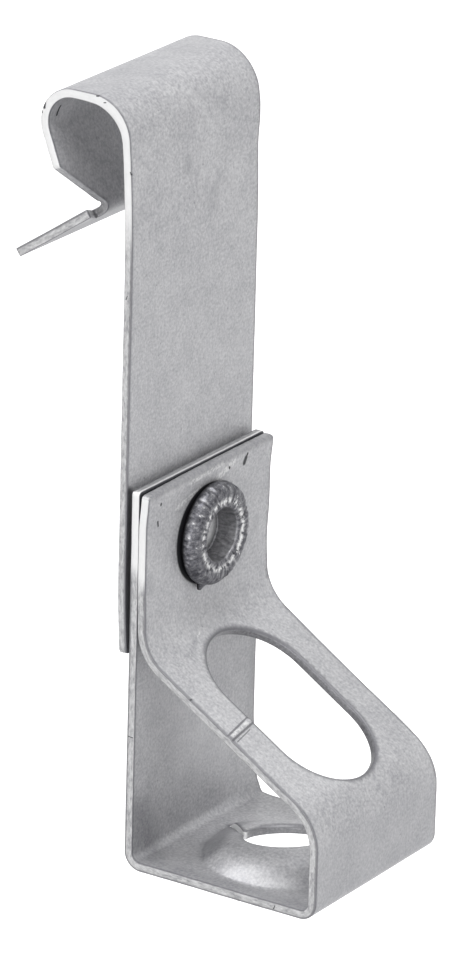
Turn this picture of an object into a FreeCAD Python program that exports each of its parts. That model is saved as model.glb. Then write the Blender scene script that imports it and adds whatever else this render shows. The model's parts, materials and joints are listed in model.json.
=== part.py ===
import FreeCAD, Part
import Sketcher
import math
import os
import re

# Purlin cable clip: a spring strip that hooks over a purlin's edge, and a folded rod bracket
# that hangs from it on one tubular rivet.
# Frame: +Z up, X = 0 on the clip plate's rear face, Y = 0 at the middle of the strip,
# Z = 0 on the underside of the hook's crown, where the purlin's edge stops.
# The bracket is on the +X side and the hook on the -X side. Lengths in mm, angles in degrees.

SIZES = {
    # Both strips
    "strip_width": 25.0,
    "sheet_thickness": 1.0,
    # Clip: bowed tail, plate, bowed neck, crown, leg and lip, with bends given as inside radii
    "plate_tail": 11.4,
    "tail_bow_radius": 190.0,
    "neck_length": 20.0,
    "neck_bow_radius": 220.0,
    "crown_depth": 10.9,
    "leg_lean": 21.0,
    "leg_length": 15.3,
    "lip_fall": 34.7,
    "lip_length": 9.05,
    "plate_bend_radius": 3.9,
    "leg_bend_radius": 3.2,
    "lip_bend_radius": 0.8,
    # Slits in the leg's edges and the barbs that they leave on the lip
    "slit_rise": 6.75,
    "slit_reach": 7.4,
    "slit_root_radius": 1.8,
    "barb_reach": 2.05,
    "barb_tip_land": 0.5,
    # Rivet, a drop below the crown, with a blind hole that tapers in its clinched end
    "rivet_drop": 51.4,
    "shank_radius": 3.95,
    "rivet_clearance": 0.05,
    "mouth_radius": 3.1,
    "mouth_depth": 2.75,
    "mouth_foot_radius": 2.8,
    "ring_width": 2.15,
    "ring_height": 1.9,
    "ring_round": 1.35,
    "ring_mouth_round": 0.4,
    "ring_heel_round": 0.45,
    "ring_seat_clearance": 0.05,
    "head_width": 1.85,
    "head_height": 0.9,
    "head_round": 0.65,
    # Bracket, with bends given as inside radii
    "swivel_gap": 0.6,
    "lap_gap": 0.15,
    "bracket_head": 7.85,
    "bracket_height": 44.75,
    "bracket_depth": 25.4,
    "front_height": 11.8,
    "slope_angle": 31.9,
    "bottom_bend_radius": 1.6,
    "front_bend_radius": 5.4,
    "flap_bend_radius": 5.0,
    # Oval hole and drawn-in far edge of the sloping plate, measured from its lower corner
    "oval_width": 14.5,
    "oval_length": 22.8,
    "oval_margin": 2.5,
    "edge_draw": 0.35,
    "edge_draw_length": 26.0,
    # Raised hole in the bottom plate, with a slit beside it
    "rod_hole_radius": 4.8,
    "rod_hole_distance": 13.4,
    "collar_radius": 9.4,
    "collar_rise": 2.35,
    "collar_tilt": 15.5,
    "collar_tilt_azimuth": -45.0,
    "rim_land": 1.0,
    "rim_slit_width": 0.7,
    "rim_slit_reach": 8.3,
    "rim_slit_inset": 0.55,
    "rim_slit_azimuth": 137.8,
}

# Cutting tools run this far past the faces that they break through
OVERRUN = 2.0

os.makedirs("parts", exist_ok=True)
doc = FreeCAD.newDocument("purlin_cable_clip")
sheet = doc.addObject("Spreadsheet::Sheet", "sizes")
for row, (alias, value) in enumerate(SIZES.items(), start=1):
    sheet.set(f"A{row}", alias)
    sheet.set(f"B{row}", str(value))
    sheet.setAlias(f"B{row}", alias)
doc.recompute()


def size(alias):
    """Current value of one cell."""
    return float(sheet.get(alias))


def refer(formula):
    """Put the sheet's name before each size named in a formula."""
    return re.sub(r"[a-z_]+", lambda word: f"sizes.{word[0]}" if word[0] in SIZES else word[0], formula)


def new_body(name):
    body = doc.addObject("PartDesign::Body", name)
    body.Label = name
    return body


def origin_item(body, role):
    return [item for item in body.Origin.OriginFeatures if item.Role == role][0]


def new_sketch(body, name, role, base=None, turn=None):
    """A sketch on one of the body's origin planes, moved and turned by formulas."""
    sketch = body.newObject("Sketcher::SketchObject", name)
    sketch.AttachmentSupport = [(origin_item(body, role), "")]
    sketch.MapMode = "FlatFace"
    if turn:
        axis, formula = turn
        sketch.AttachmentOffset = FreeCAD.Placement(FreeCAD.Vector(), FreeCAD.Rotation(axis, 1.0))
        sketch.setExpression("AttachmentOffset.Rotation.Angle", refer(formula))
    for letter, formula in (base or {}).items():
        sketch.setExpression(f"AttachmentOffset.Base.{letter}", refer(formula))
    return sketch


def add_outline(sketch, corners):
    """Closed outline of straight lines; a line runs from its own corner to the next one."""
    count = len(corners)
    first = len(sketch.Geometry)
    points = [FreeCAD.Vector(x, y, 0) for x, y in corners]
    for i in range(count):
        sketch.addGeometry(Part.LineSegment(points[i], points[(i + 1) % count]), False)
    for i in range(count):
        sketch.addConstraint(Sketcher.Constraint("Coincident", first + i, 2, first + (i + 1) % count, 1))


def constrain(sketch, kind, *places):
    return sketch.addConstraint(Sketcher.Constraint(kind, *places))


def measure(sketch, kind, places, value, formula):
    """A dimension that follows a formula of sizes."""
    index = constrain(sketch, kind, *places, value)
    sketch.setExpression(f"Constraints[{index}]", refer(formula))


def add_feature(body, kind, name, sketch, length=None, symmetric=True):
    """A pad or pocket of a sketch; a pocket without a length goes through everything."""
    feature = body.newObject(f"PartDesign::{kind}", name)
    feature.Profile = sketch
    feature.SideType = "Symmetric" if symmetric else "One side"
    if length:
        feature.setExpression("Length", refer(length))
    else:
        feature.Type = "ThroughAll"
    doc.recompute()
    if kind == "Pocket" and feature.Shape.Volume > feature.BaseFeature.Shape.Volume - 1e-3:
        raise RuntimeError(f"{name} cuts nothing")
    return feature


def round_edges(body, name, edges, radius):
    """Round edges that were found by their place."""
    if not edges:
        raise RuntimeError(f"{name} finds no edge")
    fillet = body.newObject("PartDesign::Fillet", name)
    fillet.Base = (fillet.BaseFeature, edges)
    fillet.setExpression("Radius", refer(radius))
    doc.recompute()


def round_bend(body, name, inner, outer, radius):
    """Round both sides of a bend across the strip, at its sharp corners in X and Z."""
    for side, corner, formula in (("in", inner, radius), ("out", outer, f"{radius} + sheet_thickness")):
        edges = []
        for number, edge in enumerate(body.Tip.Shape.Edges, start=1):
            ends = [vertex.Point for vertex in edge.Vertexes]
            if all(math.hypot(end.x - corner[0], end.z - corner[1]) < 0.01 for end in ends):
                edges.append(f"Edge{number}")
        round_edges(body, f"{name}_{side}", edges, formula)


def round_ring(body, name, x, ring_radius, radius):
    """Round a circular edge about the rivet's axis."""
    edges = []
    for number, edge in enumerate(body.Tip.Shape.Edges, start=1):
        if isinstance(edge.Curve, Part.Circle):
            if abs(edge.Curve.Center.x - x) < 0.01 and abs(edge.Curve.Radius - ring_radius) < 0.01:
                edges.append(f"Edge{number}")
    round_edges(body, name, edges, radius)


def along(start, way, length):
    return (start[0] + way[0] * length, start[1] + way[1] * length)


half_width = size("strip_width") / 2
sheet_t = size("sheet_thickness")


def rivet_hole(body):
    """Hole for the rivet's shank through every layer of a strip."""
    sketch = new_sketch(body, f"{body.Label}_hole_outline", "YZ_Plane", {"y": "0 - rivet_drop"})
    radius = size("shank_radius") + size("rivet_clearance")
    sketch.addGeometry(Part.Circle(FreeCAD.Vector(), FreeCAD.Vector(0, 0, 1), radius), False)
    constrain(sketch, "Coincident", 0, 3, -1, 1)
    measure(sketch, "Radius", (0,), radius, "shank_radius + rivet_clearance")
    add_feature(body, "Pocket", f"{body.Label}_hole", sketch)


# Purlin clip: tail, plate, neck, crown, leg and lip in one profile, the face towards the purlin first
bow = size("neck_bow_radius")
tail_bow = size("tail_bow_radius")
lean = math.radians(size("leg_lean"))
fall = math.radians(size("lip_fall"))
leg_way = (math.sin(lean), -math.cos(lean))
leg_out = (-math.cos(lean), -math.sin(lean))
lip_way = (-math.cos(fall), -math.sin(fall))
lip_out = (-math.sin(fall), math.cos(fall))
crown_out = (0.0, 1.0)


def outer_corner(corner, first_out, second_out):
    """The outer faces of a bend meet on the line halfway between their normals."""
    share = sheet_t / (1 + first_out[0] * second_out[0] + first_out[1] * second_out[1])
    return along(corner, (first_out[0] + second_out[0], first_out[1] + second_out[1]), share)


plate_foot = -size("rivet_drop")
plate_end = plate_foot - size("plate_tail")
neck_foot = -size("neck_length")
tail_sweep = math.asin(size("plate_tail") / tail_bow)
tail_front_sweep = math.asin(size("plate_tail") / (tail_bow - sheet_t))
tail_rear_end = (tail_bow * (1 - math.cos(tail_sweep)), plate_end)
tail_front_end = (tail_bow - (tail_bow - sheet_t) * math.cos(tail_front_sweep), plate_end)
rear_rise = math.asin(size("neck_length") / bow)
front_rise = math.asin((size("neck_length") + sheet_t) / (bow + sheet_t))
neck_top = (bow * (math.cos(rear_rise) - 1), 0.0)
neck_top_out = ((bow + sheet_t) * math.cos(front_rise) - bow, sheet_t)
shoulder = (neck_top[0] - size("crown_depth"), 0.0)
shoulder_out = outer_corner(shoulder, crown_out, leg_out)
waist = along(shoulder, leg_way, size("leg_length"))
waist_out = outer_corner(waist, leg_out, lip_out)
lip_end = along(waist, lip_way, size("lip_length"))

clip = new_body("purlin_clip")
clip_profile = new_sketch(clip, "clip_profile", "XZ_Plane")
clip_corners = [
    neck_top,
    shoulder,
    waist,
    lip_end,
    along(lip_end, lip_out, sheet_t),
    waist_out,
    shoulder_out,
    neck_top_out,
]
CROWN_UNDER, LEG_IN, LIP_UNDER, LIP_TIP, LIP_TOP, LEG_OUT, CROWN_TOP = range(7)
PLATE_FRONT, PLATE_REAR, PLATE_END, NECK_REAR, NECK_FRONT, TAIL_REAR, TAIL_FRONT = range(7, 14)
clip_lines = list(zip(clip_corners, clip_corners[1:]))
clip_lines.append(((sheet_t, neck_foot), (sheet_t, plate_foot)))
clip_lines.append(((0.0, plate_foot), (0.0, neck_foot)))
clip_lines.append((tail_front_end, tail_rear_end))
for start, end in clip_lines:
    clip_profile.addGeometry(Part.LineSegment(FreeCAD.Vector(*start), FreeCAD.Vector(*end)), False)
UPWARDS = FreeCAD.Vector(0, 0, 1)
neck_centre = FreeCAD.Vector(-bow, neck_foot, 0)
tail_centre = FreeCAD.Vector(tail_bow, plate_foot, 0)
for centre, radius, start, sweep in (
    (neck_centre, bow, 0.0, rear_rise),
    (neck_centre, bow + sheet_t, 0.0, front_rise),
    (tail_centre, tail_bow, math.pi, tail_sweep),
    (tail_centre, tail_bow - sheet_t, math.pi, tail_front_sweep),
):
    circle = Part.Circle(centre, UPWARDS, radius)
    clip_profile.addGeometry(Part.ArcOfCircle(circle, start, start + sweep), False)
for line in (CROWN_UNDER, LEG_IN, LIP_UNDER, LIP_TIP, LIP_TOP, LEG_OUT):
    constrain(clip_profile, "Coincident", line, 2, line + 1, 1)
constrain(clip_profile, "Coincident", TAIL_FRONT, 2, PLATE_END, 1)
constrain(clip_profile, "Coincident", TAIL_REAR, 2, PLATE_END, 2)
constrain(clip_profile, "Tangent", PLATE_REAR, 1, TAIL_REAR, 1)
constrain(clip_profile, "Tangent", PLATE_FRONT, 2, TAIL_FRONT, 1)
constrain(clip_profile, "Coincident", TAIL_REAR, 3, TAIL_FRONT, 3)
constrain(clip_profile, "Coincident", NECK_REAR, 2, CROWN_UNDER, 1)
constrain(clip_profile, "Coincident", NECK_FRONT, 2, CROWN_TOP, 2)
constrain(clip_profile, "Tangent", PLATE_REAR, 2, NECK_REAR, 1)
constrain(clip_profile, "Tangent", PLATE_FRONT, 1, NECK_FRONT, 1)
constrain(clip_profile, "Coincident", NECK_REAR, 3, NECK_FRONT, 3)
for upright in (PLATE_REAR, PLATE_FRONT):
    constrain(clip_profile, "Vertical", upright)
for level in (CROWN_UNDER, CROWN_TOP, PLATE_END):
    constrain(clip_profile, "Horizontal", level)
for first, second in ((LEG_IN, LEG_OUT), (LIP_UNDER, LIP_TOP)):
    constrain(clip_profile, "Parallel", first, second)
constrain(clip_profile, "Perpendicular", LIP_UNDER, LIP_TIP)
constrain(clip_profile, "PointOnObject", PLATE_REAR, 1, -2)
constrain(clip_profile, "PointOnObject", CROWN_UNDER, 1, -1)
measure(clip_profile, "DistanceY", (PLATE_END, 2, -1, 1), -plate_end, "rivet_drop + plate_tail")
measure(clip_profile, "DistanceY", (PLATE_REAR, 1, -1, 1), -plate_foot, "rivet_drop")
measure(clip_profile, "Radius", (TAIL_REAR,), tail_bow, "tail_bow_radius")
measure(clip_profile, "DistanceX", (PLATE_REAR, 2, PLATE_FRONT, 1), sheet_t, "sheet_thickness")
measure(clip_profile, "DistanceY", (PLATE_REAR, 2, -1, 1), -neck_foot, "neck_length")
measure(clip_profile, "Radius", (NECK_REAR,), bow, "neck_bow_radius")
measure(clip_profile, "Distance", (CROWN_UNDER,), size("crown_depth"), "crown_depth")
measure(clip_profile, "Angle", (LEG_IN,), lean - math.pi / 2, "leg_lean - 90")
measure(clip_profile, "Distance", (LEG_IN,), size("leg_length"), "leg_length")
measure(clip_profile, "Angle", (LIP_UNDER,), fall - math.pi, "lip_fall - 180")
measure(clip_profile, "Distance", (LIP_UNDER,), size("lip_length"), "lip_length")
for thickness in ((LIP_TIP,), (LEG_OUT, 1, LEG_IN), (CROWN_TOP, 1, CROWN_UNDER)):
    measure(clip_profile, "Distance", thickness, sheet_t, "sheet_thickness")
add_feature(clip, "Pad", "clip_strip", clip_profile, "strip_width")
round_bend(clip, "plate_bend", neck_top, neck_top_out, "plate_bend_radius")
round_bend(clip, "leg_bend", shoulder, shoulder_out, "leg_bend_radius")
round_bend(clip, "lip_bend", waist_out, waist, "lip_bend_radius")

# Slit in the leg's near edge: obliquely inwards and down to a rounded root, then through the bend
WAIST = {
    "x": "leg_length * sin(leg_lean) - crown_depth - neck_bow_radius + "
    "sqrt(neck_bow_radius * neck_bow_radius - neck_length * neck_length)",
    "z": "0 - leg_length * cos(leg_lean)",
}
ACROSS = FreeCAD.Vector(0, 1, 0)
BEND_ROOM = "2 * (sheet_thickness + lip_bend_radius)"
bend_room = 2 * (sheet_t + size("lip_bend_radius"))
slit_turn = math.atan2(size("slit_reach"), size("slit_rise"))
root = size("slit_reach") - half_width
root_radius = size("slit_root_radius")
root_tangent = root_radius * math.tan(slit_turn / 2)
slit = new_sketch(clip, "slit_outline", "XY_Plane", WAIST, (ACROSS, "0 - 90 - leg_lean"))
slit_points = [
    (-bend_room, -half_width),
    (size("slit_rise"), -half_width),
    (root_tangent * math.cos(slit_turn), root - root_tangent * math.sin(slit_turn)),
    (-root_tangent, root),
    (-bend_room, root),
]
EDGE, OBLIQUE, NECK, FOOT, ROOT = range(5)
for start, end in ((0, 1), (1, 2), (3, 4), (4, 0)):
    ends = [FreeCAD.Vector(*slit_points[number]) for number in (start, end)]
    slit.addGeometry(Part.LineSegment(*ends), False)
root_circle = Part.Circle(FreeCAD.Vector(-root_tangent, root - root_radius, 0), UPWARDS, root_radius)
slit.addGeometry(Part.ArcOfCircle(root_circle, math.pi / 2 - slit_turn, math.pi / 2), False)
constrain(slit, "Coincident", EDGE, 2, OBLIQUE, 1)
constrain(slit, "Tangent", OBLIQUE, 2, ROOT, 1)
constrain(slit, "Tangent", ROOT, 2, NECK, 1)
constrain(slit, "Coincident", NECK, 2, FOOT, 1)
constrain(slit, "Coincident", FOOT, 2, EDGE, 1)
constrain(slit, "Horizontal", EDGE)
constrain(slit, "Horizontal", NECK)
constrain(slit, "Vertical", FOOT)
measure(slit, "Angle", (OBLIQUE,), math.pi - slit_turn, "180 deg - atan(slit_reach / slit_rise)")
measure(slit, "Radius", (ROOT,), root_radius, "slit_root_radius")
measure(slit, "DistanceX", (EDGE, 1, -1, 1), bend_room, BEND_ROOM)
measure(slit, "DistanceY", (EDGE, 1, -1, 1), half_width, "strip_width / 2")
measure(slit, "DistanceX", (-1, 1, EDGE, 2), size("slit_rise"), "slit_rise")
measure(slit, "DistanceY", (NECK, 2, -1, 1), -root, "strip_width / 2 - slit_reach")
slit_cut = add_feature(clip, "Pocket", "slit_cut", slit, BEND_ROOM)

# Barb: the lip goes straight on past the bend and tapers from the strip's edge to the slit's root
barb = new_sketch(clip, "barb_outline", "XY_Plane", WAIST, (ACROSS, "0 - lip_fall"))
add_outline(barb, [
    (-bend_room, -half_width),
    (size("barb_reach"), -half_width),
    (size("barb_reach"), size("barb_tip_land") - half_width),
    (0.0, root),
    (-bend_room, root),
])
for upright in (1, 4):
    constrain(barb, "Vertical", upright)
for level in (0, 3):
    constrain(barb, "Horizontal", level)
constrain(barb, "PointOnObject", 3, 1, -2)
measure(barb, "DistanceX", (0, 1, -1, 1), bend_room, BEND_ROOM)
measure(barb, "DistanceY", (0, 1, -1, 1), half_width, "strip_width / 2")
measure(barb, "DistanceX", (-1, 1, 0, 2), size("barb_reach"), "barb_reach")
measure(barb, "Distance", (1,), size("barb_tip_land"), "barb_tip_land")
measure(barb, "DistanceY", (3, 1, -1, 1), -root, "strip_width / 2 - slit_reach")
barb_pad = add_feature(clip, "Pad", "barb_pad", barb, "sheet_thickness", symmetric=False)
far_barb = clip.newObject("PartDesign::Mirrored", "far_barb")
far_barb.Originals = [slit_cut, barb_pad]
far_barb.MirrorPlane = (origin_item(clip, "XZ_Plane"), [""])
clip.Tip = far_barb
doc.recompute()
rivet_hole(clip)

# Rod bracket: back plate, bottom, front wall, sloping plate and flap in one profile,
# drawn from where the rivet's axis meets the back plate's rear face
slope = math.radians(size("slope_angle"))
rear = 0.0
front = size("bracket_depth")
back_face = sheet_t
flap_rear = back_face + size("lap_gap")
flap_face = flap_rear + sheet_t
top = size("bracket_head")
bottom = top - size("bracket_height")
low_corner = (front, bottom + size("front_height"))


def slope_height(x, depth):
    """Height of the sloping plate at a distance from the back and a depth below its outer face."""
    return low_corner[1] + (front - x) * math.tan(slope) - depth / math.cos(slope)


low_inner = (front - sheet_t, slope_height(front - sheet_t, sheet_t))
high_corner = (flap_face, slope_height(flap_face, 0.0))
high_rear = (flap_rear, slope_height(flap_rear, sheet_t))

bracket = new_body("rod_bracket")
AXIS_AT_BRACKET = {"x": "sheet_thickness + swivel_gap", "y": "0 - rivet_drop"}
folds = new_sketch(bracket, "bracket_profile", "XZ_Plane", AXIS_AT_BRACKET)
add_outline(folds, [
    (rear, top),
    (rear, bottom),
    (front, bottom),
    low_corner,
    high_corner,
    (flap_face, top),
    (flap_rear, top),
    high_rear,
    low_inner,
    (front - sheet_t, bottom + sheet_t),
    (back_face, bottom + sheet_t),
    (back_face, top),
])
BACK_REAR, BOTTOM_UNDER, FRONT_OUT, SLOPE_OUT, FLAP_FRONT, FLAP_TOP = range(6)
FLAP_REAR, SLOPE_IN, FRONT_IN, BOTTOM_TOP, BACK_FRONT, BACK_TOP = range(6, 12)
for upright in (BACK_REAR, FRONT_OUT, FLAP_FRONT, FLAP_REAR, FRONT_IN, BACK_FRONT):
    constrain(folds, "Vertical", upright)
for level in (BOTTOM_UNDER, FLAP_TOP, BOTTOM_TOP, BACK_TOP):
    constrain(folds, "Horizontal", level)
constrain(folds, "Parallel", SLOPE_OUT, SLOPE_IN)
constrain(folds, "PointOnObject", BACK_REAR, 1, -2)
constrain(folds, "Horizontal", FLAP_TOP, 2, BACK_TOP, 1)
measure(folds, "DistanceY", (-1, 1, BACK_REAR, 1), top, "bracket_head")
measure(folds, "Distance", (BACK_REAR,), size("bracket_height"), "bracket_height")
measure(folds, "Distance", (BOTTOM_UNDER,), size("bracket_depth"), "bracket_depth")
measure(folds, "Distance", (FRONT_OUT,), size("front_height"), "front_height")
measure(folds, "Angle", (SLOPE_OUT,), math.pi - slope, "180 - slope_angle")
measure(folds, "DistanceX", (BACK_FRONT, 2, FLAP_REAR, 1), size("lap_gap"), "lap_gap")
for thickness in (
    (FLAP_TOP,),
    (BACK_TOP,),
    (SLOPE_IN, 1, SLOPE_OUT),
    (FRONT_IN, 2, FRONT_OUT),
    (BOTTOM_TOP, 1, BOTTOM_UNDER),
):
    measure(folds, "Distance", thickness, sheet_t, "sheet_thickness")
add_feature(bracket, "Pad", "bracket_strip", folds, "strip_width")


def from_profile(point):
    """A point of the bracket's profile in X and Z."""
    return (point[0] + sheet_t + size("swivel_gap"), point[1] - size("rivet_drop"))


bends = (
    ("rear_bend", (back_face, bottom + sheet_t), (rear, bottom), "bottom_bend_radius"),
    ("toe_bend", (front - sheet_t, bottom + sheet_t), (front, bottom), "bottom_bend_radius"),
    ("front_bend", low_inner, low_corner, "front_bend_radius"),
    ("flap_bend", high_corner, high_rear, "flap_bend_radius"),
)
for name, inner, outer, radius in bends:
    round_bend(bracket, name, from_profile(inner), from_profile(outer), radius)

# Sketches on the sloping plate start at its lower sharp corner; -X goes up the slope
LOW_CORNER = {
    "x": "sheet_thickness + swivel_gap + bracket_depth",
    "z": "bracket_head - rivet_drop - bracket_height + front_height",
}
DOWN_SLOPE = (ACROSS, "slope_angle")
oval_radius = size("oval_width") / 2
oval_low = -size("oval_margin") - oval_radius
oval_high = -size("oval_margin") - size("oval_length") + oval_radius
oval = new_sketch(bracket, "oval_outline", "XY_Plane", LOW_CORNER, DOWN_SLOPE)
low_end = Part.Circle(FreeCAD.Vector(oval_low, 0, 0), UPWARDS, oval_radius)
high_end = Part.Circle(FreeCAD.Vector(oval_high, 0, 0), UPWARDS, oval_radius)
oval.addGeometry(Part.ArcOfCircle(low_end, -math.pi / 2, math.pi / 2), False)
oval.addGeometry(Part.ArcOfCircle(high_end, math.pi / 2, 3 * math.pi / 2), False)
near_side = (FreeCAD.Vector(oval_high, -oval_radius, 0), FreeCAD.Vector(oval_low, -oval_radius, 0))
far_side = (FreeCAD.Vector(oval_low, oval_radius, 0), FreeCAD.Vector(oval_high, oval_radius, 0))
oval.addGeometry(Part.LineSegment(*near_side), False)
oval.addGeometry(Part.LineSegment(*far_side), False)
constrain(oval, "Tangent", 0, 2, 3, 1)
constrain(oval, "Tangent", 3, 2, 1, 1)
constrain(oval, "Tangent", 1, 2, 2, 1)
constrain(oval, "Tangent", 2, 2, 0, 1)
constrain(oval, "PointOnObject", 0, 3, -1)
constrain(oval, "PointOnObject", 1, 3, -1)
measure(oval, "Radius", (0,), oval_radius, "oval_width / 2")
measure(oval, "DistanceX", (0, 3, -1, 1), -oval_low, "oval_margin + oval_width / 2")
measure(oval, "DistanceX", (1, 3, 0, 3), oval_low - oval_high, "oval_length - oval_width")
add_feature(bracket, "Pocket", "oval_hole", oval, "6 * sheet_thickness")

# The slope's far edge is drawn in as a flat arc from the lower corner upwards
drawn = new_sketch(bracket, "edge_draw_outline", "XY_Plane", LOW_CORNER, DOWN_SLOPE)
draw = size("edge_draw")
draw_length = size("edge_draw_length")
draw_radius = (draw_length ** 2 / 4 + draw ** 2) / (2 * draw)
spread = math.asin(draw_length / 2 / draw_radius)
draw_centre = FreeCAD.Vector(-draw_length / 2, half_width + draw_radius - draw, 0)
draw_circle = Part.Circle(draw_centre, UPWARDS, draw_radius)
drawn.addGeometry(Part.ArcOfCircle(draw_circle, -math.pi / 2 - spread, -math.pi / 2 + spread), False)
draw_corners = [
    FreeCAD.Vector(0, half_width, 0),
    FreeCAD.Vector(0, half_width + OVERRUN, 0),
    FreeCAD.Vector(-draw_length, half_width + OVERRUN, 0),
    FreeCAD.Vector(-draw_length, half_width, 0),
]
for start, end in zip(draw_corners, draw_corners[1:]):
    drawn.addGeometry(Part.LineSegment(start, end), False)
for i in range(4):
    constrain(drawn, "Coincident", i, 2, (i + 1) % 4, 1)
for upright in (1, 3):
    constrain(drawn, "Vertical", upright)
constrain(drawn, "Horizontal", 2)
constrain(drawn, "PointOnObject", 1, 1, -2)
measure(drawn, "DistanceY", (-1, 1, 1, 1), half_width, "strip_width / 2")
measure(drawn, "Distance", (1,), OVERRUN, f"{OVERRUN}")
measure(drawn, "Distance", (2,), draw_length, "edge_draw_length")
arc_formula = "(edge_draw_length * edge_draw_length / 4 + edge_draw * edge_draw) / (2 * edge_draw)"
measure(drawn, "Radius", (0,), draw_radius, arc_formula)
constrain(drawn, "Horizontal", 0, 1, 0, 2)
add_feature(bracket, "Pocket", "edge_draw_cut", drawn, "6 * sheet_thickness")
rivet_hole(bracket)

# Raised collar round the rod hole: a cone on the bottom plate, with its top tilted to one side
HOLE_X = "sheet_thickness + swivel_gap + rod_hole_distance"
BOTTOM = "bracket_head - rivet_drop - bracket_height"
tilt_azimuth = math.radians(size("collar_tilt_azimuth"))
TILT_AXIS = FreeCAD.Vector(math.sin(tilt_azimuth), -math.cos(tilt_azimuth), 0)


def collar_circle(name, height, radius, formula, turn=None):
    """A circle round the rod hole's axis at a height above the bottom plate's underside."""
    base = {"x": HOLE_X, "z": f"{BOTTOM} + {height}"}
    sketch = new_sketch(bracket, name, "XY_Plane", base, turn)
    sketch.addGeometry(Part.Circle(FreeCAD.Vector(), UPWARDS, radius), False)
    constrain(sketch, "Coincident", 0, 3, -1, 1)
    measure(sketch, "Radius", (0,), radius, formula)
    return sketch


def collar_cone(kind, name, height):
    """The collar's cone over a level of the bottom plate."""
    foot = collar_circle(f"{name}_foot", height, size("collar_radius"), "collar_radius")
    rim_radius = size("rod_hole_radius") - size("rim_land")
    rim_height = f"{height} + collar_rise"
    turn = (TILT_AXIS, "collar_tilt")
    rim = collar_circle(f"{name}_rim", rim_height, rim_radius, "rod_hole_radius - rim_land", turn)
    doc.recompute()
    cone = bracket.newObject(f"PartDesign::{kind}Loft", name)
    cone.Profile = foot
    cone.Sections = [rim]
    doc.recompute()


collar_cone("Additive", "collar_outside", "sheet_thickness")
collar_cone("Subtractive", "collar_inside", "0")
hole_radius = size("rod_hole_radius")
rod_hole = collar_circle("rod_hole_outline", "0", hole_radius, "rod_hole_radius")
add_feature(bracket, "Pocket", "rod_hole", rod_hole, "4 * (sheet_thickness + collar_rise)")

# Slit through the collar, beside the hole, so that its rim can follow a rod's thread
slit_base = {"x": HOLE_X, "z": BOTTOM}
rim_slit = new_sketch(bracket, "rim_slit_outline", "XY_Plane", slit_base, (UPWARDS, "rim_slit_azimuth"))
slit_side = hole_radius - size("rim_slit_inset") + size("rim_slit_width") / 2
slit_low = slit_side - size("rim_slit_width")
add_outline(rim_slit, [
    (0.0, slit_low),
    (size("rim_slit_reach"), slit_low),
    (size("rim_slit_reach"), slit_side),
    (0.0, slit_side),
])
for level in (0, 2):
    constrain(rim_slit, "Horizontal", level)
for upright in (1, 3):
    constrain(rim_slit, "Vertical", upright)
constrain(rim_slit, "PointOnObject", 0, 1, -2)
measure(rim_slit, "Distance", (0,), size("rim_slit_reach"), "rim_slit_reach")
measure(rim_slit, "Distance", (1,), size("rim_slit_width"), "rim_slit_width")
low_formula = "rod_hole_radius - rim_slit_inset - rim_slit_width / 2"
measure(rim_slit, "DistanceY", (-1, 1, 0, 1), slit_low, low_formula)
add_feature(bracket, "Pocket", "rim_slit", rim_slit, "4 * (sheet_thickness + collar_rise)")

# Rivet: a solid shank with a head behind the clip and its hollow end rolled to a ring on the flap
shank = size("shank_radius")
mouth = size("mouth_radius")
head = shank + size("head_width")
ring = shank + size("ring_width")
head_rear = -size("head_height")
seat = 3 * sheet_t + size("swivel_gap") + size("lap_gap") + size("ring_seat_clearance")
ring_front = seat + size("ring_height")
mouth_bottom = ring_front - size("mouth_depth")
rivet = new_body("rivet")
turning = new_sketch(rivet, "rivet_profile", "XZ_Plane", {"y": "0 - rivet_drop"})
add_outline(turning, [
    (head_rear, 0.0),
    (head_rear, head),
    (0.0, head),
    (0.0, shank),
    (seat, shank),
    (seat, ring),
    (ring_front, ring),
    (ring_front, mouth),
    (mouth_bottom, size("mouth_foot_radius")),
    (mouth_bottom, 0.0),
])
HEAD_REAR, HEAD_SIDE, HEAD_SEAT, SHANK, RING_SEAT, RING_SIDE, RING_FACE, MOUTH, MOUTH_END, AXIS = range(10)
for upright in (HEAD_REAR, HEAD_SEAT, RING_SEAT, RING_FACE, MOUTH_END):
    constrain(turning, "Vertical", upright)
for level in (HEAD_SIDE, SHANK, RING_SIDE):
    constrain(turning, "Horizontal", level)
constrain(turning, "PointOnObject", HEAD_SEAT, 1, -2)
constrain(turning, "PointOnObject", AXIS, 1, -1)
constrain(turning, "PointOnObject", AXIS, 2, -1)
measure(turning, "DistanceY", (-1, 1, SHANK, 1), shank, "shank_radius")
measure(turning, "Distance", (HEAD_SEAT,), size("head_width"), "head_width")
measure(turning, "Distance", (HEAD_SIDE,), size("head_height"), "head_height")
measure(turning, "Distance", (RING_SEAT,), size("ring_width"), "ring_width")
measure(turning, "Distance", (RING_SIDE,), size("ring_height"), "ring_height")
measure(turning, "DistanceY", (-1, 1, MOUTH, 1), mouth, "mouth_radius")
measure(turning, "Distance", (MOUTH_END,), size("mouth_foot_radius"), "mouth_foot_radius")
measure(turning, "DistanceX", (MOUTH, 2, MOUTH, 1), size("mouth_depth"), "mouth_depth")
layers = "3 * sheet_thickness + swivel_gap + lap_gap + ring_seat_clearance"
measure(turning, "Distance", (SHANK,), seat, layers)
doc.recompute()
turned = rivet.newObject("PartDesign::Revolution", "rivet_turned")
turned.Profile = turning
turned.ReferenceAxis = (turning, ["H_Axis"])
turned.Angle = 360.0
doc.recompute()
round_ring(rivet, "ring_roll", ring_front, ring, "ring_round")
round_ring(rivet, "ring_heel", seat, ring, "ring_heel_round")
round_ring(rivet, "ring_mouth", ring_front, mouth, "ring_mouth_round")
round_ring(rivet, "head_edge", head_rear, head, "head_round")

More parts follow.
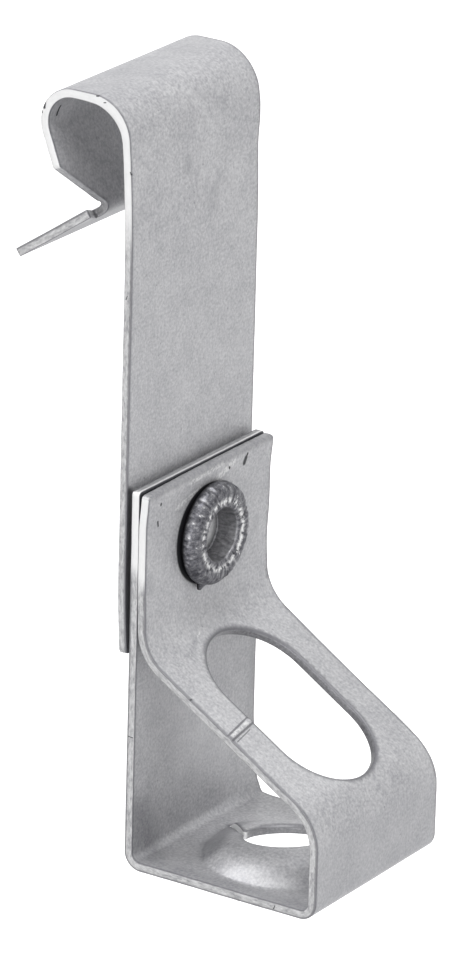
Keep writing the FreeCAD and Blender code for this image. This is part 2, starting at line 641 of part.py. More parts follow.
doc.recompute()
for item in doc.Objects:
    if "Invalid" in item.State or "Error" in item.State:
        raise RuntimeError(f"{item.Label} does not compute")
for body in (clip, bracket, rivet):
    if body.Shape.isNull() or not body.Shape.isValid() or len(body.Shape.Solids) != 1:
        raise RuntimeError(f"{body.Label} is not one sound solid")
    body.Shape.exportStep(f"parts/{body.Label}.step")
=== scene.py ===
import bisect
import json
import random
from math import asin, atan2, ceil, cos, degrees, dist, exp, hypot, pi, radians, sin, sqrt, tan

import bpy
import numpy as np
from mathutils import Matrix, Vector, geometry, kdtree, noise


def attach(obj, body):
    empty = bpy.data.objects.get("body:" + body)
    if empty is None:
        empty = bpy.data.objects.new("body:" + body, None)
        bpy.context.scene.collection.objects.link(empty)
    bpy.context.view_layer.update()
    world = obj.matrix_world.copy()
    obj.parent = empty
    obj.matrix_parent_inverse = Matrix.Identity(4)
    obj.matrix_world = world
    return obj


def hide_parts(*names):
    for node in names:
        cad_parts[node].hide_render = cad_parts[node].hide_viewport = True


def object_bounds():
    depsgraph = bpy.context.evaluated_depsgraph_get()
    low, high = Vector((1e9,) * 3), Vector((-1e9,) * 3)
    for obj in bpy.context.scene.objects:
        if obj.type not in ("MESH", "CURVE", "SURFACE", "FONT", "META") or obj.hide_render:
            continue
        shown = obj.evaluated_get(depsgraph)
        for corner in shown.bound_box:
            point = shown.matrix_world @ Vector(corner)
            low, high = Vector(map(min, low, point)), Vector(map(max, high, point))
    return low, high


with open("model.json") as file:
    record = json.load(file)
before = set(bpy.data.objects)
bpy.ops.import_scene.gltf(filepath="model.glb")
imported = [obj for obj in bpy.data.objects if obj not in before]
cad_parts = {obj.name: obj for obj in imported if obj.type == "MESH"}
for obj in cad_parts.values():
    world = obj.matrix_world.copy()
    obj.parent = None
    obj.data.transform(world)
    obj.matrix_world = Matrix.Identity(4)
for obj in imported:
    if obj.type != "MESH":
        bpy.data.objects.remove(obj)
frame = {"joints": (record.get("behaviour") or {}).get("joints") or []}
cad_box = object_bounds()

# Lengths of the part are in mm here, and are scaled when a mesh is made
MM = 0.001
HALF_WIDTH = round(cad_box[1][1] / MM, 2)
SHEET = 1.0
RIVET_DROP = -frame["joints"][0]["pos_m"][2] / MM
RIVET_HOLE = 4.0

# Spacing of the points over a sheet and round its outline
GRID = 0.45
GRID_ROW = 0.866 * GRID
LOOP_STEP = 0.3
FINE_STEP = 0.15
SAME_SPOT = 1e-6


def ease(low, high, value):
    """0 at one value and 1 at another, with a smooth change between them."""
    t = min(1.0, max(0.0, (value - low) / (high - low)))
    return t * t * (3 - 2 * t)


def hump(value, middle, half):
    """A smooth rise and fall, 1 at its middle."""
    t = (value - middle) / half
    return 0.5 + 0.5 * cos(pi * t) if abs(t) < 1 else 0.0


def bell(off, width):
    """A soft peak, 1 at its middle."""
    return exp(-(off / width) ** 2)


def turn_between(first, second):
    """The shorter way round from one direction to another, from -pi to pi."""
    return (second - first + pi) % (2 * pi) - pi


def share_noise(x, y, seed):
    """Smooth noise from 0 to 1."""
    return 0.5 + 0.5 * noise.noise(Vector((x, y, seed)))


def linked(name, data):
    """A new object in the scene."""
    made = bpy.data.objects.new(name, data)
    bpy.context.scene.collection.objects.link(made)
    return made


# Camera at the photograph's angle: its place in metres and its focal length in pixels
EYE = Vector((0.39511, -0.60206, 0.22683))
AZIMUTH, ELEVATION, ROLL = radians(32.88), radians(20.7221), radians(1.5546)
FOCAL_PIXELS = 6936.1
IMAGE_HEIGHT = 953
SENSOR = 36.0
VIEW_NEAR, VIEW_FAR = 0.01, 20.0


def add_camera():
    back = Vector((
        sin(AZIMUTH) * cos(ELEVATION),
        -cos(AZIMUTH) * cos(ELEVATION),
        sin(ELEVATION),
    ))
    level = Vector((cos(AZIMUTH), sin(AZIMUTH), 0.0))
    up = back.cross(level)
    across = level * cos(ROLL) + up * sin(ROLL)
    upright = up * cos(ROLL) - level * sin(ROLL)
    data = bpy.data.cameras.new("camera")
    data.sensor_width = SENSOR
    data.lens = FOCAL_PIXELS * SENSOR / IMAGE_HEIGHT
    data.clip_start = VIEW_NEAR
    data.clip_end = VIEW_FAR
    camera = linked("camera", data)
    turn = Matrix((across, upright, back)).transposed().to_4x4()
    camera.matrix_world = Matrix.Translation(EYE) @ turn
    bpy.context.scene.camera = camera


# Light and floor, in metres
FLOOR_HEIGHT, FLOOR_HALF = -0.16, 4.0
FLOOR_COLOUR = (0.62, 0.62, 0.625, 1.0)
FLOOR_ROUGHNESS, FLOOR_GLOW = 0.95, 0.72
WHITE = (1.0, 1.0, 1.0, 1.0)
DIFFUSE_SKY = 0.26
AIM = Vector((0.0, 0.0, -0.04))
LAMP_WIDTH = 0.5
# Name, place and power of each lamp
LAMPS = [
    ("front", (0.2, -0.95, 0.03), 4.6),
    ("top", (0.2, -0.15, 0.88), 6.8),
    ("left", (-0.6, -0.35, 0.7), 5.4),
    ("right", (0.95, -0.3, 0.2), 1.1),
]


def add_lamp(name, place, power):
    """A soft square lamp that faces the object's middle."""
    data = bpy.data.lights.new(name, "AREA")
    data.size = LAMP_WIDTH
    data.energy = power
    lamp = linked(name, data)
    lamp.location = place
    lamp.rotation_euler = (AIM - Vector(place)).to_track_quat("-Z", "Y").to_euler()


class Nodes:
    """The nodes of a material or of the world, with short ways to add more."""

    def __init__(self, owner):
        owner.use_nodes = True
        self.nodes = owner.node_tree.nodes
        self.links = owner.node_tree.links

    def put(self, value, socket):
        if isinstance(value, bpy.types.NodeSocket):
            self.links.new(value, socket)
        else:
            socket.default_value = value

    def feed(self, node, values):
        for key, value in values.items():
            self.put(value, node.inputs[key])

    def node(self, kind, *values, **settings):
        """A new node with its settings, and with values or links for its first inputs."""
        made = self.nodes.new("ShaderNode" + kind)
        for key, value in settings.items():
            setattr(made, key, value)
        for value, socket in zip(values, made.inputs):
            self.put(value, socket)
        return made

    def math(self, operation, *values):
        return self.node("Math", *values, operation=operation).outputs["Value"]

    def seen_rays(self):
        """1 for rays that show the background: straight to the camera, mirrored or let through."""
        rays = self.node("LightPath").outputs
        seen = self.math("MAXIMUM", rays["Is Camera Ray"], rays["Is Glossy Ray"])
        return self.math("MAXIMUM", seen, rays["Is Transmission Ray"])


def add_world():
    """White where it is seen, and a dimmer sky for the light that it sheds."""
    world = bpy.data.worlds.new("studio")
    bpy.context.scene.world = world
    tree = Nodes(world)
    tree.nodes.clear()
    shade, out = tree.node("Background"), tree.node("OutputWorld")
    strength = tree.math("MULTIPLY_ADD", tree.seen_rays(), 1.0 - DIFFUSE_SKY, DIFFUSE_SKY)
    tree.feed(shade, {"Color": WHITE, "Strength": strength})
    tree.feed(out, {"Surface": shade.outputs["Background"]})


def floor_material():
    material = bpy.data.materials.new("pale_floor")
    tree = Nodes(material)
    tree.feed(tree.nodes["Principled BSDF"], {
        "Base Color": FLOOR_COLOUR,
        "Roughness": FLOOR_ROUGHNESS,
        "Emission Color": WHITE,
        "Emission Strength": tree.math("MULTIPLY", tree.seen_rays(), FLOOR_GLOW),
    })
    return material


def add_floor():
    mesh = bpy.data.meshes.new("floor")
    ends = (-FLOOR_HALF, FLOOR_HALF)
    corners = [(x, y, FLOOR_HEIGHT) for y in ends for x in ends]
    mesh.from_pydata(corners, [], [(0, 1, 3, 2)])
    mesh.materials.append(floor_material())
    floor = linked("floor", mesh)


# Bent strips: a flat outline with holes, laid along a path of straight runs and bends
class Strip:
    """A face's path in X and Z, as runs of (length, turn), with the sheet's thickness on one side."""

    def __init__(self, start, heading, runs, side):
        self.side = side
        self.starts = []
        self.states = []
        s, x, z, angle = 0.0, start[0], start[1], radians(heading)
        for length, turn in runs:
            self.starts.append(s)
            self.states.append((x, z, angle, length, turn))
            x, z, angle = self.move(x, z, angle, turn / length, length)
            s += length
        self.length = s

    @staticmethod
    def move(x, z, angle, curve, run):
        """Place and heading after a run that turns by so much for each mm."""
        if curve == 0.0:
            return x + cos(angle) * run, z + sin(angle) * run, angle
        after = angle + curve * run
        x += (sin(after) - sin(angle)) / curve
        z -= (cos(after) - cos(angle)) / curve
        return x, z, after

    def at(self, s):
        index = max(0, bisect.bisect_right(self.starts, s) - 1)
        x, z, angle, length, turn = self.states[index]
        return self.move(x, z, angle, turn / length, s - self.starts[index])

    def place(self, s, y, depth):
        x, z, angle = self.at(s)
        return (x - self.side * sin(angle) * depth, y, z + self.side * cos(angle) * depth)


LEFT, RIGHT = 1.0, -1.0


def straight(length):
    return (length, 0.0)


def bend(radius, turn):
    """A bend to the left for a positive turn, in degrees."""
    return (radius * radians(abs(turn)), radians(turn))


def tangent(radius, turn):
    """How far a bend's ends lie from the corner that it rounds."""
    return radius * tan(radians(turn / 2))


def refine(points):
    """Closed loop with points no further apart than a step."""
    fine = []
    for (s0, y0), (s1, y1) in zip(points, points[1:] + points[:1]):
        count = max(1, ceil(hypot(s1 - s0, y1 - y0) / LOOP_STEP))
        fine += [(s0 + (s1 - s0) * i / count, y0 + (y1 - y0) * i / count) for i in range(count)]
    return fine


def arc(centre, radius, first, last, step=LOOP_STEP):
    """Points on a circle from one angle to another, in degrees."""
    count = max(2, ceil(abs(radians(last - first)) * radius / step))
    angles = [radians(first + (last - first) * i / count) for i in range(count + 1)]
    return [(centre[0] + radius * cos(a), centre[1] + radius * sin(a)) for a in angles]


# Sharpest corner that keeps its full mitre, as 1 plus the cosine of its turn
MITRE_LIMIT = 0.35


def mitres(loop):
    """Outward direction at each point of a loop that has its material on the left."""
    found = []
    count = len(loop)
    for i in range(count):
        before, here, after = Vector(loop[i - 1]), Vector(loop[i]), Vector(loop[(i + 1) % count])
        first, second = (here - before).normalized(), (after - here).normalized()
        n1, n2 = Vector((first.y, -first.x)), Vector((second.y, -second.x))
        found.append((n1 + n2) / max(MITRE_LIMIT, 1 + n1.dot(n2)))
    return found


def inside(points, loops):
    """Which points lie in the material, by counting the loops' crossings."""
    p = np.array(points)
    within = np.zeros(len(p), bool)
    for loop in loops:
        a = np.array(loop)
        b = np.roll(a, -1, axis=0)
        for (s0, y0), (s1, y1) in zip(a, b):
            if y0 == y1:
                continue
            crosses = (p[:, 1] > min(y0, y1)) & (p[:, 1] <= max(y0, y1))
            where = s0 + (p[:, 1] - y0) * (s1 - s0) / (y1 - y0)
            within ^= crosses & (where > p[:, 0])
    return within


# How far the two faces round into an edge, where nothing else is said
FIRST_ROUND, SECOND_ROUND = 0.11, 0.09


class Edge:
    """A closed line of a strip's outline: how far its faces round off, and how bright or dark it is."""

    def __init__(self, points, first=FIRST_ROUND, second=SECOND_ROUND, shear=1.0, bore=0.0):
        self.points = points
        self.first = self.along(first)
        self.second = self.along(second)
        self.shear = self.along(shear)
        self.bore = self.along(bore)
        self.outward = mitres(points)

    def along(self, value):
        return [value(*p) if callable(value) else value for p in self.points]

    def inset(self, amounts):
        return [Vector(p) - m * a for p, m, a in zip(self.points, self.outward, amounts)]


def rivet_hole(middle):
    """Edge of a hole for the rivet's shank, clockwise."""
    return Edge(arc((middle, 0.0), RIVET_HOLE, 0, -360)[:-1], bore=1.0)


# Share of a quarter round, of the sheared band and of the dark line, painted shade of the rounded corners,
# for each row round an edge
ROUND_TURNS = [pi / 2 * i / 3 for i in range(4)]
BAND = (0.0, 0.0, 0.25, 1.0, 1.0, 1.0, 0.25, 0.0, 0.0)
LINE = (0.8, 1.0, 1.0, 0.2, 0.0, 0.2, 1.0, 1.0, 0.8)
# What each point of a strip carries for its material: shares of band, bore and dark line, and its place
STRIP_KEYS = ("cut", "bore", "line", "side", "along", "across")


def edge_rows(first, second):
    """Inset and depth of each row of points round an edge, from the first face to the second."""
    rows = [(first * (1 - sin(a)), first * (1 - cos(a))) for a in ROUND_TURNS]
    rows.append((0.0, (SHEET + first - second) / 2))
    rows += [(second * (1 - cos(a)), SHEET - second * (1 - sin(a))) for a in ROUND_TURNS]
    return rows


def nearest(points):
    """A tree that finds the nearest of some flat points."""
    tree = kdtree.KDTree(len(points))
    for i, (s, y) in enumerate(points):
        tree.insert((s, y, 0.0), i)
    tree.balance()
    return tree


def face_points(edges, creases):
    """Points over the sheet, clear of its edges: those of its creases, and a grid between them."""
    rim = [p for edge in edges for p in edge.points]
    reach = [max(a, b) for edge in edges for a, b in zip(edge.first, edge.second)]
    tree = nearest(rim)
    lows, highs = np.array(rim).min(0), np.array(rim).max(0)
    grid = []
    for row in range(int((highs[1] - lows[1]) / GRID_ROW) + 1):
        y = lows[1] + row * GRID_ROW
        for column in range(int((highs[0] - lows[0]) / GRID) + 1):
            grid.append((lows[0] + (column + 0.5 * (row % 2)) * GRID, y))
    if creases:
        folds = nearest(creases)
        grid = [p for p in grid if folds.find((*p, 0.0))[2] > 0.5 * GRID]
    candidates = creases + grid
    chosen = []
    for p, ok in zip(candidates, inside(candidates, [edge.points for edge in edges])):
        if ok:
            place, index, gap = tree.find((*p, 0.0))
            if gap > reach[index] + 0.5 * GRID:
                chosen.append(Vector(p))
    return chosen


def sheet_faces(edges, inner):
    """Triangles over the sheet, on the edges' inset points and then the inner ones."""
    borders = [edge.inset(edge.first) for edge in edges]
    flat = [p for border in borders for p in border] + inner
    lines = []
    first = 0
    for border in borders:
        lines += [(first + i, first + (i + 1) % len(border)) for i in range(len(border))]
        first += len(border)
    _, _, triangles, sources, _, _ = geometry.delaunay_2d_cdt(flat, lines, [], 1, SAME_SPOT, True)
    faces = [tuple(sources[v][0] for v in triangle) for triangle in triangles]
    doubtful = [i for i, face in enumerate(faces) if max(face) < first]
    centres = [sum((flat[v] for v in faces[i]), Vector((0, 0))) / 3 for i in doubtful]
    kept = inside(centres, [[tuple(p) for p in border] for border in borders])
    outside = {i for i, ok in zip(doubtful, kept) if not ok}
    return [face for i, face in enumerate(faces) if i not in outside]


def strip_mesh(name, edges, place, creases=()):
    """A sheet with rounded edges over a flat outline; place puts a flat point and a depth in space."""
    chosen = face_points(edges, list(creases))
    faces = sheet_faces(edges, chosen)
    points, values = [], []

    def add(p, depth, cut, bore, line):
        points.append(place(*p, depth))
        values.append((cut, bore, line, depth / SHEET, *p))

    count = sum(len(edge.points) for edge in edges)
    for row, (band, line) in enumerate(zip(BAND, LINE)):
        for edge in edges:
            rows = [edge_rows(a, b)[row] for a, b in zip(edge.first, edge.second)]
            spots = edge.inset([inset for inset, depth in rows])
            for p, (inset, depth), shear, bore in zip(spots, rows, edge.shear, edge.bore):
                add(p, depth, band * shear, band * bore, line * max(shear, bore))
    first_skin = len(points)
    for depth in (0.0, SHEET):
        for p in chosen:
            add(p, depth, 0.0, 0.0, 0.0)
    last_row = (len(BAND) - 1) * count

    def on_first(v):
        return v if v < count else first_skin + v - count

    def on_second(v):
        return last_row + v if v < count else first_skin + len(chosen) + v - count

    polygons = [tuple(on_first(v) for v in reversed(face)) for face in faces]
    polygons += [tuple(on_second(v) for v in face) for face in faces]
    first = 0
    for edge in edges:
        for i in range(len(edge.points)):
            a, b = first + i, first + (i + 1) % len(edge.points)
            for low in range(0, last_row, count):
                high = low + count
                polygons.append((low + a, low + b, high + b, high + a))
        first += len(edge.points)
    return finished_mesh(name, points, polygons, STRIP_KEYS, values)


def finished_mesh(name, points, polygons, keys, values):
    """A smooth mesh in metres, with a row of values for each of its points."""
    mesh = bpy.data.meshes.new(name)
    mesh.from_pydata([tuple(c * MM for c in p) for p in points], [], polygons)
    for key, column in zip(keys, zip(*values)):
        layer = mesh.attributes.new(key, "FLOAT", "POINT")
        layer.data.foreach_set("value", np.array(column, np.float32))
    mesh.validate()
    mesh.shade_smooth()
    return linked(name, mesh)


# Dents with their length, seed and fade, and wear of the edges with its seed
DENT_DEPTH, CLIP_DENT, BRACKET_DENT = 0.05, (9.0, 3.1, 6.0), (8.0, 7.7, 5.0)
WEAR_DEPTH, WEAR_PITCH, CLIP_WEAR, BRACKET_WEAR = 0.05, 0.9, 1.7, 5.3


def dent(s, y, end, length, seed, fade):
    """Slow unevenness of a rolled sheet, fading out at the strip's two ends."""
    depth = DENT_DEPTH * share_noise(s / length, y / length, seed)
    return depth * ease(0.0, fade, min(s, end - s))


def worn(loop, seed):
    """A loop with the slight unevenness of a sheared edge, never outside its line."""
    moved = []
    for (s, y), out in zip(loop, mitres(loop)):
        depth = WEAR_DEPTH * share_noise(s * WEAR_PITCH, y * WEAR_PITCH, seed)
        moved.append((s - out.x * depth, y - out.y * depth))
    return moved


# Purlin clip, on the face that the purlin touches: tail, plate, neck, crown, leg and lip
TAIL, TAIL_BOW = 11.4, 190.0
NECK, NECK_BOW, PLATE_BEND = 20.0, 220.0, 3.9
CROWN_DEPTH, LEG_LENGTH, LIP_LENGTH = 11.811, 15.3, 9.05
LEG_LEAN, LIP_FALL = 21.0, 34.7
LEG_BEND, LIP_BEND = 3.2, 1.8
CLIP_CORNER = 0.5
TAIL_TURN = degrees(asin(TAIL / TAIL_BOW))
NECK_REACH = sqrt((NECK_BOW - PLATE_BEND) ** 2 - (NECK - PLATE_BEND) ** 2)
NECK_TURN = degrees(atan2(NECK - PLATE_BEND, NECK_REACH))
LEG_TURN = 90.0 + LEG_LEAN
LIP_TURN = LEG_TURN - LIP_FALL
LEG_TANGENT, LIP_TANGENT = tangent(LEG_BEND, LEG_TURN), tangent(LIP_BEND, LIP_TURN)
clip_runs = [
    bend(TAIL_BOW, -TAIL_TURN),
    straight(RIVET_DROP - NECK),
    bend(NECK_BOW, NECK_TURN),
    bend(PLATE_BEND, 90.0 - NECK_TURN),
    straight(NECK_REACH - NECK_BOW + CROWN_DEPTH - LEG_TANGENT),
    bend(LEG_BEND, LEG_TURN),
    straight(LEG_LENGTH - LEG_TANGENT - LIP_TANGENT),
    bend(LIP_BEND, -LIP_TURN),
    straight(LIP_LENGTH - LIP_TANGENT),
]
TAIL_END = (TAIL_BOW * (1 - cos(radians(TAIL_TURN))), -RIVET_DROP - TAIL)
clip_path = Strip(TAIL_END, 90.0 + TAIL_TURN, clip_runs, RIGHT)
PLATE_START, NECK_END = clip_path.starts[1], clip_path.starts[3]
LIP_START, LIP_END = clip_path.starts[-1], clip_path.length
LEG_WAIST = clip_path.starts[-2] + LIP_TANGENT

# Notch between the leg and each barb, and the barbs, which stand in line with the lip
NOTCH_ROOT, NOTCH_RISE, NOTCH_LIFT, NOTCH_ROUND = 5.9, 6.6, 0.7, 1.6
NOTCH_SHIFT, NOTCH_SLANT = 0.2, 0.79
# Where the notches' dimming begins, and how much painted shade dims their edges
NOTCH_START, NOTCH_SHADE = 75.0, 0.45
BARB_TIP, BARB_ROOT = LIP_START - LIP_TANGENT - 2.05, LIP_START + 0.6
BARB_ROUND, TIP_ROUND = 0.3, 0.2
BLUNT_SLANT, BLUNT_WIDTH = 0.15, 0.55
BARB_BACK = 6.0
lip_x, lip_z, lip_angle = clip_path.at(LIP_START)
barb_path = Strip(
    (lip_x - BARB_BACK * cos(lip_angle), lip_z - BARB_BACK * sin(lip_angle)),
    degrees(lip_angle), [straight(BARB_BACK)], RIGHT,
)

# Swell of the plate bend's inner face at both edges, and of the plate's far side (middle, half length)
BEND_SWELL, BEND_SWELL_SPAN, BEND_SWELL_EDGE = 0.25, (NECK_END + 3.2, 4.5), 10.5
FAR_SWELL, FAR_SWELL_SPAN = 0.4, (NECK_END - 1.6, 5.5)


def notch_middle(y):
    """Flat place of the notch's middle, at a distance from the strip's middle."""
    return LIP_START + NOTCH_SHIFT - NOTCH_SLANT * (y - NOTCH_ROOT)


def clip_place(s, y, depth):
    swell = BEND_SWELL * hump(s, *BEND_SWELL_SPAN) * ease(BEND_SWELL_EDGE, HALF_WIDTH, abs(y))
    depth -= swell * (SHEET - depth)
    depth -= dent(s, y, LIP_END, *CLIP_DENT)
    if abs(y) > NOTCH_ROOT and notch_middle(abs(y)) < s < LIP_START:
        x, y, z = barb_path.place(s - LIP_START + BARB_BACK, y, depth)
    else:
        x, y, z = clip_path.place(s, y, depth)
    x += FAR_SWELL * hump(s, *FAR_SWELL_SPAN) * ease(0.0, HALF_WIDTH, y)
    return (x, y, z)


def barb_end(s, y):
    """1 on the barbs' blunt ends, which take the bores' painted shade instead of the sheared brightness."""
    edge_gap = HALF_WIDTH - abs(y)
    across = ease(BLUNT_WIDTH + 0.25, BLUNT_WIDTH + 0.05, edge_gap) * ease(0.01, 0.1, edge_gap)
    return across * ease(BLUNT_SLANT + 0.2, BLUNT_SLANT - 0.05, abs(s - BARB_TIP))


def clip_shear(s, y):
    """How bright the clip's outline is sheared: dimmed by painted shade in the notches, and not at all on
    the barbs' ends.
    """
    notch = ease(NOTCH_ROOT - 0.1, NOTCH_ROOT, abs(y)) * ease(0.05, 0.2, HALF_WIDTH - abs(y))
    notch *= ease(NOTCH_START, NOTCH_START + 1.0, s)
    return (1.0 - NOTCH_SHADE * notch) * (1.0 - barb_end(s, y))


def clip_notch():
    """The notch's outline on the near side, from the leg's edge round its root to the barb's tip."""
    slant = degrees(atan2(HALF_WIDTH - NOTCH_ROOT, NOTCH_RISE - NOTCH_LIFT))
    root_end = LEG_WAIST - NOTCH_LIFT + tangent(NOTCH_ROUND, slant)
    return [
        (LEG_WAIST - NOTCH_RISE, -HALF_WIDTH),
        *arc((root_end, -NOTCH_ROOT - NOTCH_ROUND), NOTCH_ROUND, 90 + slant, 90),
        *arc((BARB_ROOT - BARB_ROUND, -NOTCH_ROOT - BARB_ROUND), BARB_ROUND, 90, -30, FINE_STEP),
        (BARB_TIP + BLUNT_SLANT, BLUNT_WIDTH - HALF_WIDTH),
        *arc((BARB_TIP + TIP_ROUND, TIP_ROUND - HALF_WIDTH), TIP_ROUND, 180, 270, FINE_STEP),
    ]


def build_clip():
    near = clip_notch()
    far = [(s, -y) for s, y in reversed(near)]
    outline = arc((CLIP_CORNER, CLIP_CORNER - HALF_WIDTH), CLIP_CORNER, 180, 270)
    outline += near
    outline += [(LIP_END, -HALF_WIDTH), (LIP_END, HALF_WIDTH)]
    outline += far
    outline += arc((CLIP_CORNER, HALF_WIDTH - CLIP_CORNER), CLIP_CORNER, 90, 180)
    edges = [
        Edge(worn(refine(outline), CLIP_WEAR), shear=clip_shear, bore=barb_end),
        rivet_hole(PLATE_START),
    ]
    return strip_mesh("clip_strip", edges, clip_place)


# Rod bracket, on its outer face: back plate, bottom, front wall, sloping plate and flap
BRACKET_HEAD, BRACKET_HEIGHT, BRACKET_DEPTH, FRONT_HEIGHT = 7.85, 44.75, 25.4, 11.8
BRACKET_BACK, FLAP_STEP = 1.6, 2.15
SLOPE = 31.9
FOLD = 90.0 - SLOPE
BOTTOM_BEND, FRONT_BEND, FLAP_BEND = 2.1, 6.4, 5.0
BRACKET_CORNER = 0.45
FRONT_TANGENT, FLAP_TANGENT = tangent(FRONT_BEND, FOLD), tangent(FLAP_BEND, FOLD)
SLOPE_LENGTH = (BRACKET_DEPTH - FLAP_STEP) / cos(radians(SLOPE))
FLAP_HEIGHT = BRACKET_HEIGHT - FRONT_HEIGHT - SLOPE_LENGTH * sin(radians(SLOPE))
bracket_runs = [
    straight(BRACKET_HEIGHT - BOTTOM_BEND),
    bend(BOTTOM_BEND, 90.0),
    straight(BRACKET_DEPTH - 2 * BOTTOM_BEND),
    bend(BOTTOM_BEND, 90.0),
    straight(FRONT_HEIGHT - BOTTOM_BEND - FRONT_TANGENT),
    bend(FRONT_BEND, FOLD),
    straight(SLOPE_LENGTH - FRONT_TANGENT - FLAP_TANGENT),
    bend(FLAP_BEND, -FOLD),
    straight(FLAP_HEIGHT - FLAP_TANGENT),
]
bracket_path = Strip((BRACKET_BACK, BRACKET_HEAD - RIVET_DROP), -90.0, bracket_runs, LEFT)
BACK_END, BOTTOM_START = bracket_path.starts[1], bracket_path.starts[2]
FRONT_START, SLOPE_START = bracket_path.starts[4], bracket_path.starts[6]
BRACKET_END = bracket_path.length
OVAL_LOW, OVAL_HIGH, OVAL_RADIUS, OVAL_ROUND = 2.5, 25.3, 7.25, 0.3


def bottom_place(x):
    """Flat place of a spot on the bottom plate, by its X."""
    return BOTTOM_START + x - bracket_path.states[2][0]


def slope_place(u):
    """Flat place of a distance up the slope from its lower sharp corner."""
    return SLOPE_START + u - FRONT_TANGENT


def flap_place(t):
    """Flat place of a distance down the flap from its top."""
    return BRACKET_END - t


# Raised collar round the rod hole, with its directions about the hole's middle
HOLE_CENTRE = BOTTOM_START + 13.4 - BOTTOM_BEND
HOLE_RADIUS = 4.8
COLLAR_RISE, COLLAR_TILT, COLLAR_CURVE, COLLAR_REACH = 1.93, 0.83, 2.6, 11.5
FOOT_RADIUS, FOOT_SHIFT, FOOT_TAIL, FOOT_TAIL_TURN = 9.35, 0.9, 0.75, 0.3
FOOT_POINTS, FOOT_GAP = 240, 0.12
HIGH_SIDE, FOOT_SIDE, TAIL_SIDE = radians(-45.0), radians(-52.0), radians(165.0)
# How sharp the rod hole's rim is, how far it is drawn over, and how much of the bores' painted shade its
# wall takes
RIM_SHARP, RIM_DRAWN, RIM_SHADE = 0.12, 0.4, 0.75
# Slit beside the rod hole, and how far its two lips are raised and pressed down
SLIT_TURN = radians(137.8)
SLIT_MIDDLE, SLIT_HALF, SLIT_REACH = 4.25, 0.1, 8.3
SLIT_BACK, SLIT_MOUTH = 7.5, 0.7
LIP_RAISE, LIP_DROP, LIP_WIDTH = 0.2, 0.35, 1.6
LIP_RISE_SPAN, LIP_FALL_SPAN = (1.5, 4.5), (6.8, SLIT_REACH + 0.4)


def slit_place(along, beside):
    """Flat place of a spot given along the slit and out from the hole's middle towards it."""
    c, sn = cos(SLIT_TURN), sin(SLIT_TURN)
    return (HOLE_CENTRE + along * c - beside * sn, along * sn + beside * c)


def slit_frame(s, y):
    """Distances along the slit and out from the hole's middle towards it."""
    ds = s - HOLE_CENTRE
    along = ds * cos(SLIT_TURN) + y * sin(SLIT_TURN)
    return along, y * cos(SLIT_TURN) - ds * sin(SLIT_TURN)


def collar_foot(turn):
    """How far the collar's foot lies from the hole's middle: further in front and at the slit's end."""
    tail = FOOT_TAIL * bell(turn_between(TAIL_SIDE, turn), FOOT_TAIL_TURN)
    return FOOT_RADIUS + FOOT_SHIFT * cos(turn - FOOT_SIDE) + tail


def collar_lift(s, y):
    """Height of the domed collar over the bottom plate, with its lips parted at the slit."""
    ds = s - HOLE_CENTRE
    turn = atan2(y, ds)
    climb = max(0.0, hypot(ds, y) - HOLE_RADIUS) / (collar_foot(turn) - HOLE_RADIUS)
    crest = COLLAR_RISE + COLLAR_TILT * cos(turn - HIGH_SIDE)
    lift = crest * max(0.0, 1 - climb ** COLLAR_CURVE)
    along, beside = slit_frame(s, y)
    off = beside - SLIT_MIDDLE
    parted = ease(*LIP_RISE_SPAN, along) * (1 - ease(*LIP_FALL_SPAN, along))
    parted *= exp(-abs(off) / LIP_WIDTH)
    return max(0.0, lift + (-LIP_DROP if off > 0 else LIP_RAISE) * parted)


def collar_crease():
    """Points on both sides of the fold at the collar's foot."""
    points = []
    for i in range(FOOT_POINTS):
        a = 2 * pi * i / FOOT_POINTS
        for gap in (-FOOT_GAP, FOOT_GAP):
            r = collar_foot(a) + gap
            points.append((HOLE_CENTRE + r * cos(a), r * sin(a)))
    return points


def rod_hole_loop():
    """The round hole with the slit beside it, clockwise."""
    low, high = SLIT_MIDDLE - SLIT_HALF, SLIT_MIDDLE + SLIT_HALF
    mouth = sqrt(HOLE_RADIUS ** 2 - low ** 2) + SLIT_MOUTH
    begin = degrees(asin(low / HOLE_RADIUS)) - SLIT_BACK
    end = degrees(asin(high / HOLE_RADIUS)) - 360.0
    local = arc((0.0, 0.0), HOLE_RADIUS, begin, end)
    local += [(SLIT_REACH - SLIT_HALF, high)]
    local += arc((SLIT_REACH - SLIT_HALF, SLIT_MIDDLE), SLIT_HALF, 90, -90, FINE_STEP)[1:]
    local += [(mouth, low)]
    return [slit_place(*p) for p in local]


def rim_round(s, y):
    """The rod hole's rim is drawn over at the back, and sharper beside the slit."""
    along, beside = slit_frame(s, y)
    return RIM_SHARP + RIM_DRAWN * ease(2.6, 0.8, beside) * ease(-1.0, 1.5, along + y)


def rim_bore(s, y):
    """The hole's wall takes the bores' painted shade, and the slit's wall stays bright."""
    along, beside = slit_frame(s, y)
    return RIM_SHADE * (1 - ease(1.9, 2.5, along) * ease(3.2, 3.6, beside))


# Bar pressed up across the slope's near strip, from the edge to a blob beside the oval hole
BAR_START, BAR_END = Vector((slope_place(13.82), -12.5)), Vector((slope_place(14.5), -7.7))
BAR_HALF, BAR_EDGE, BAR_HEIGHT, BAR_STEPS = 0.36, 0.2, 0.15, 24
BLOB_RADIUS, BLOB_HEIGHT = 0.55, 0.28


def bar_rise(s, y):
    way = BAR_END - BAR_START
    p = Vector((s, y)) - BAR_START
    t = min(1.0, max(0.0, p.dot(way) / way.length_squared))
    bar = BAR_HEIGHT * (1 - ease(BAR_HALF - BAR_EDGE, BAR_HALF, (p - way * t).length))
    return max(bar, BLOB_HEIGHT * (1 - ease(0.0, BLOB_RADIUS, (p - way).length)))


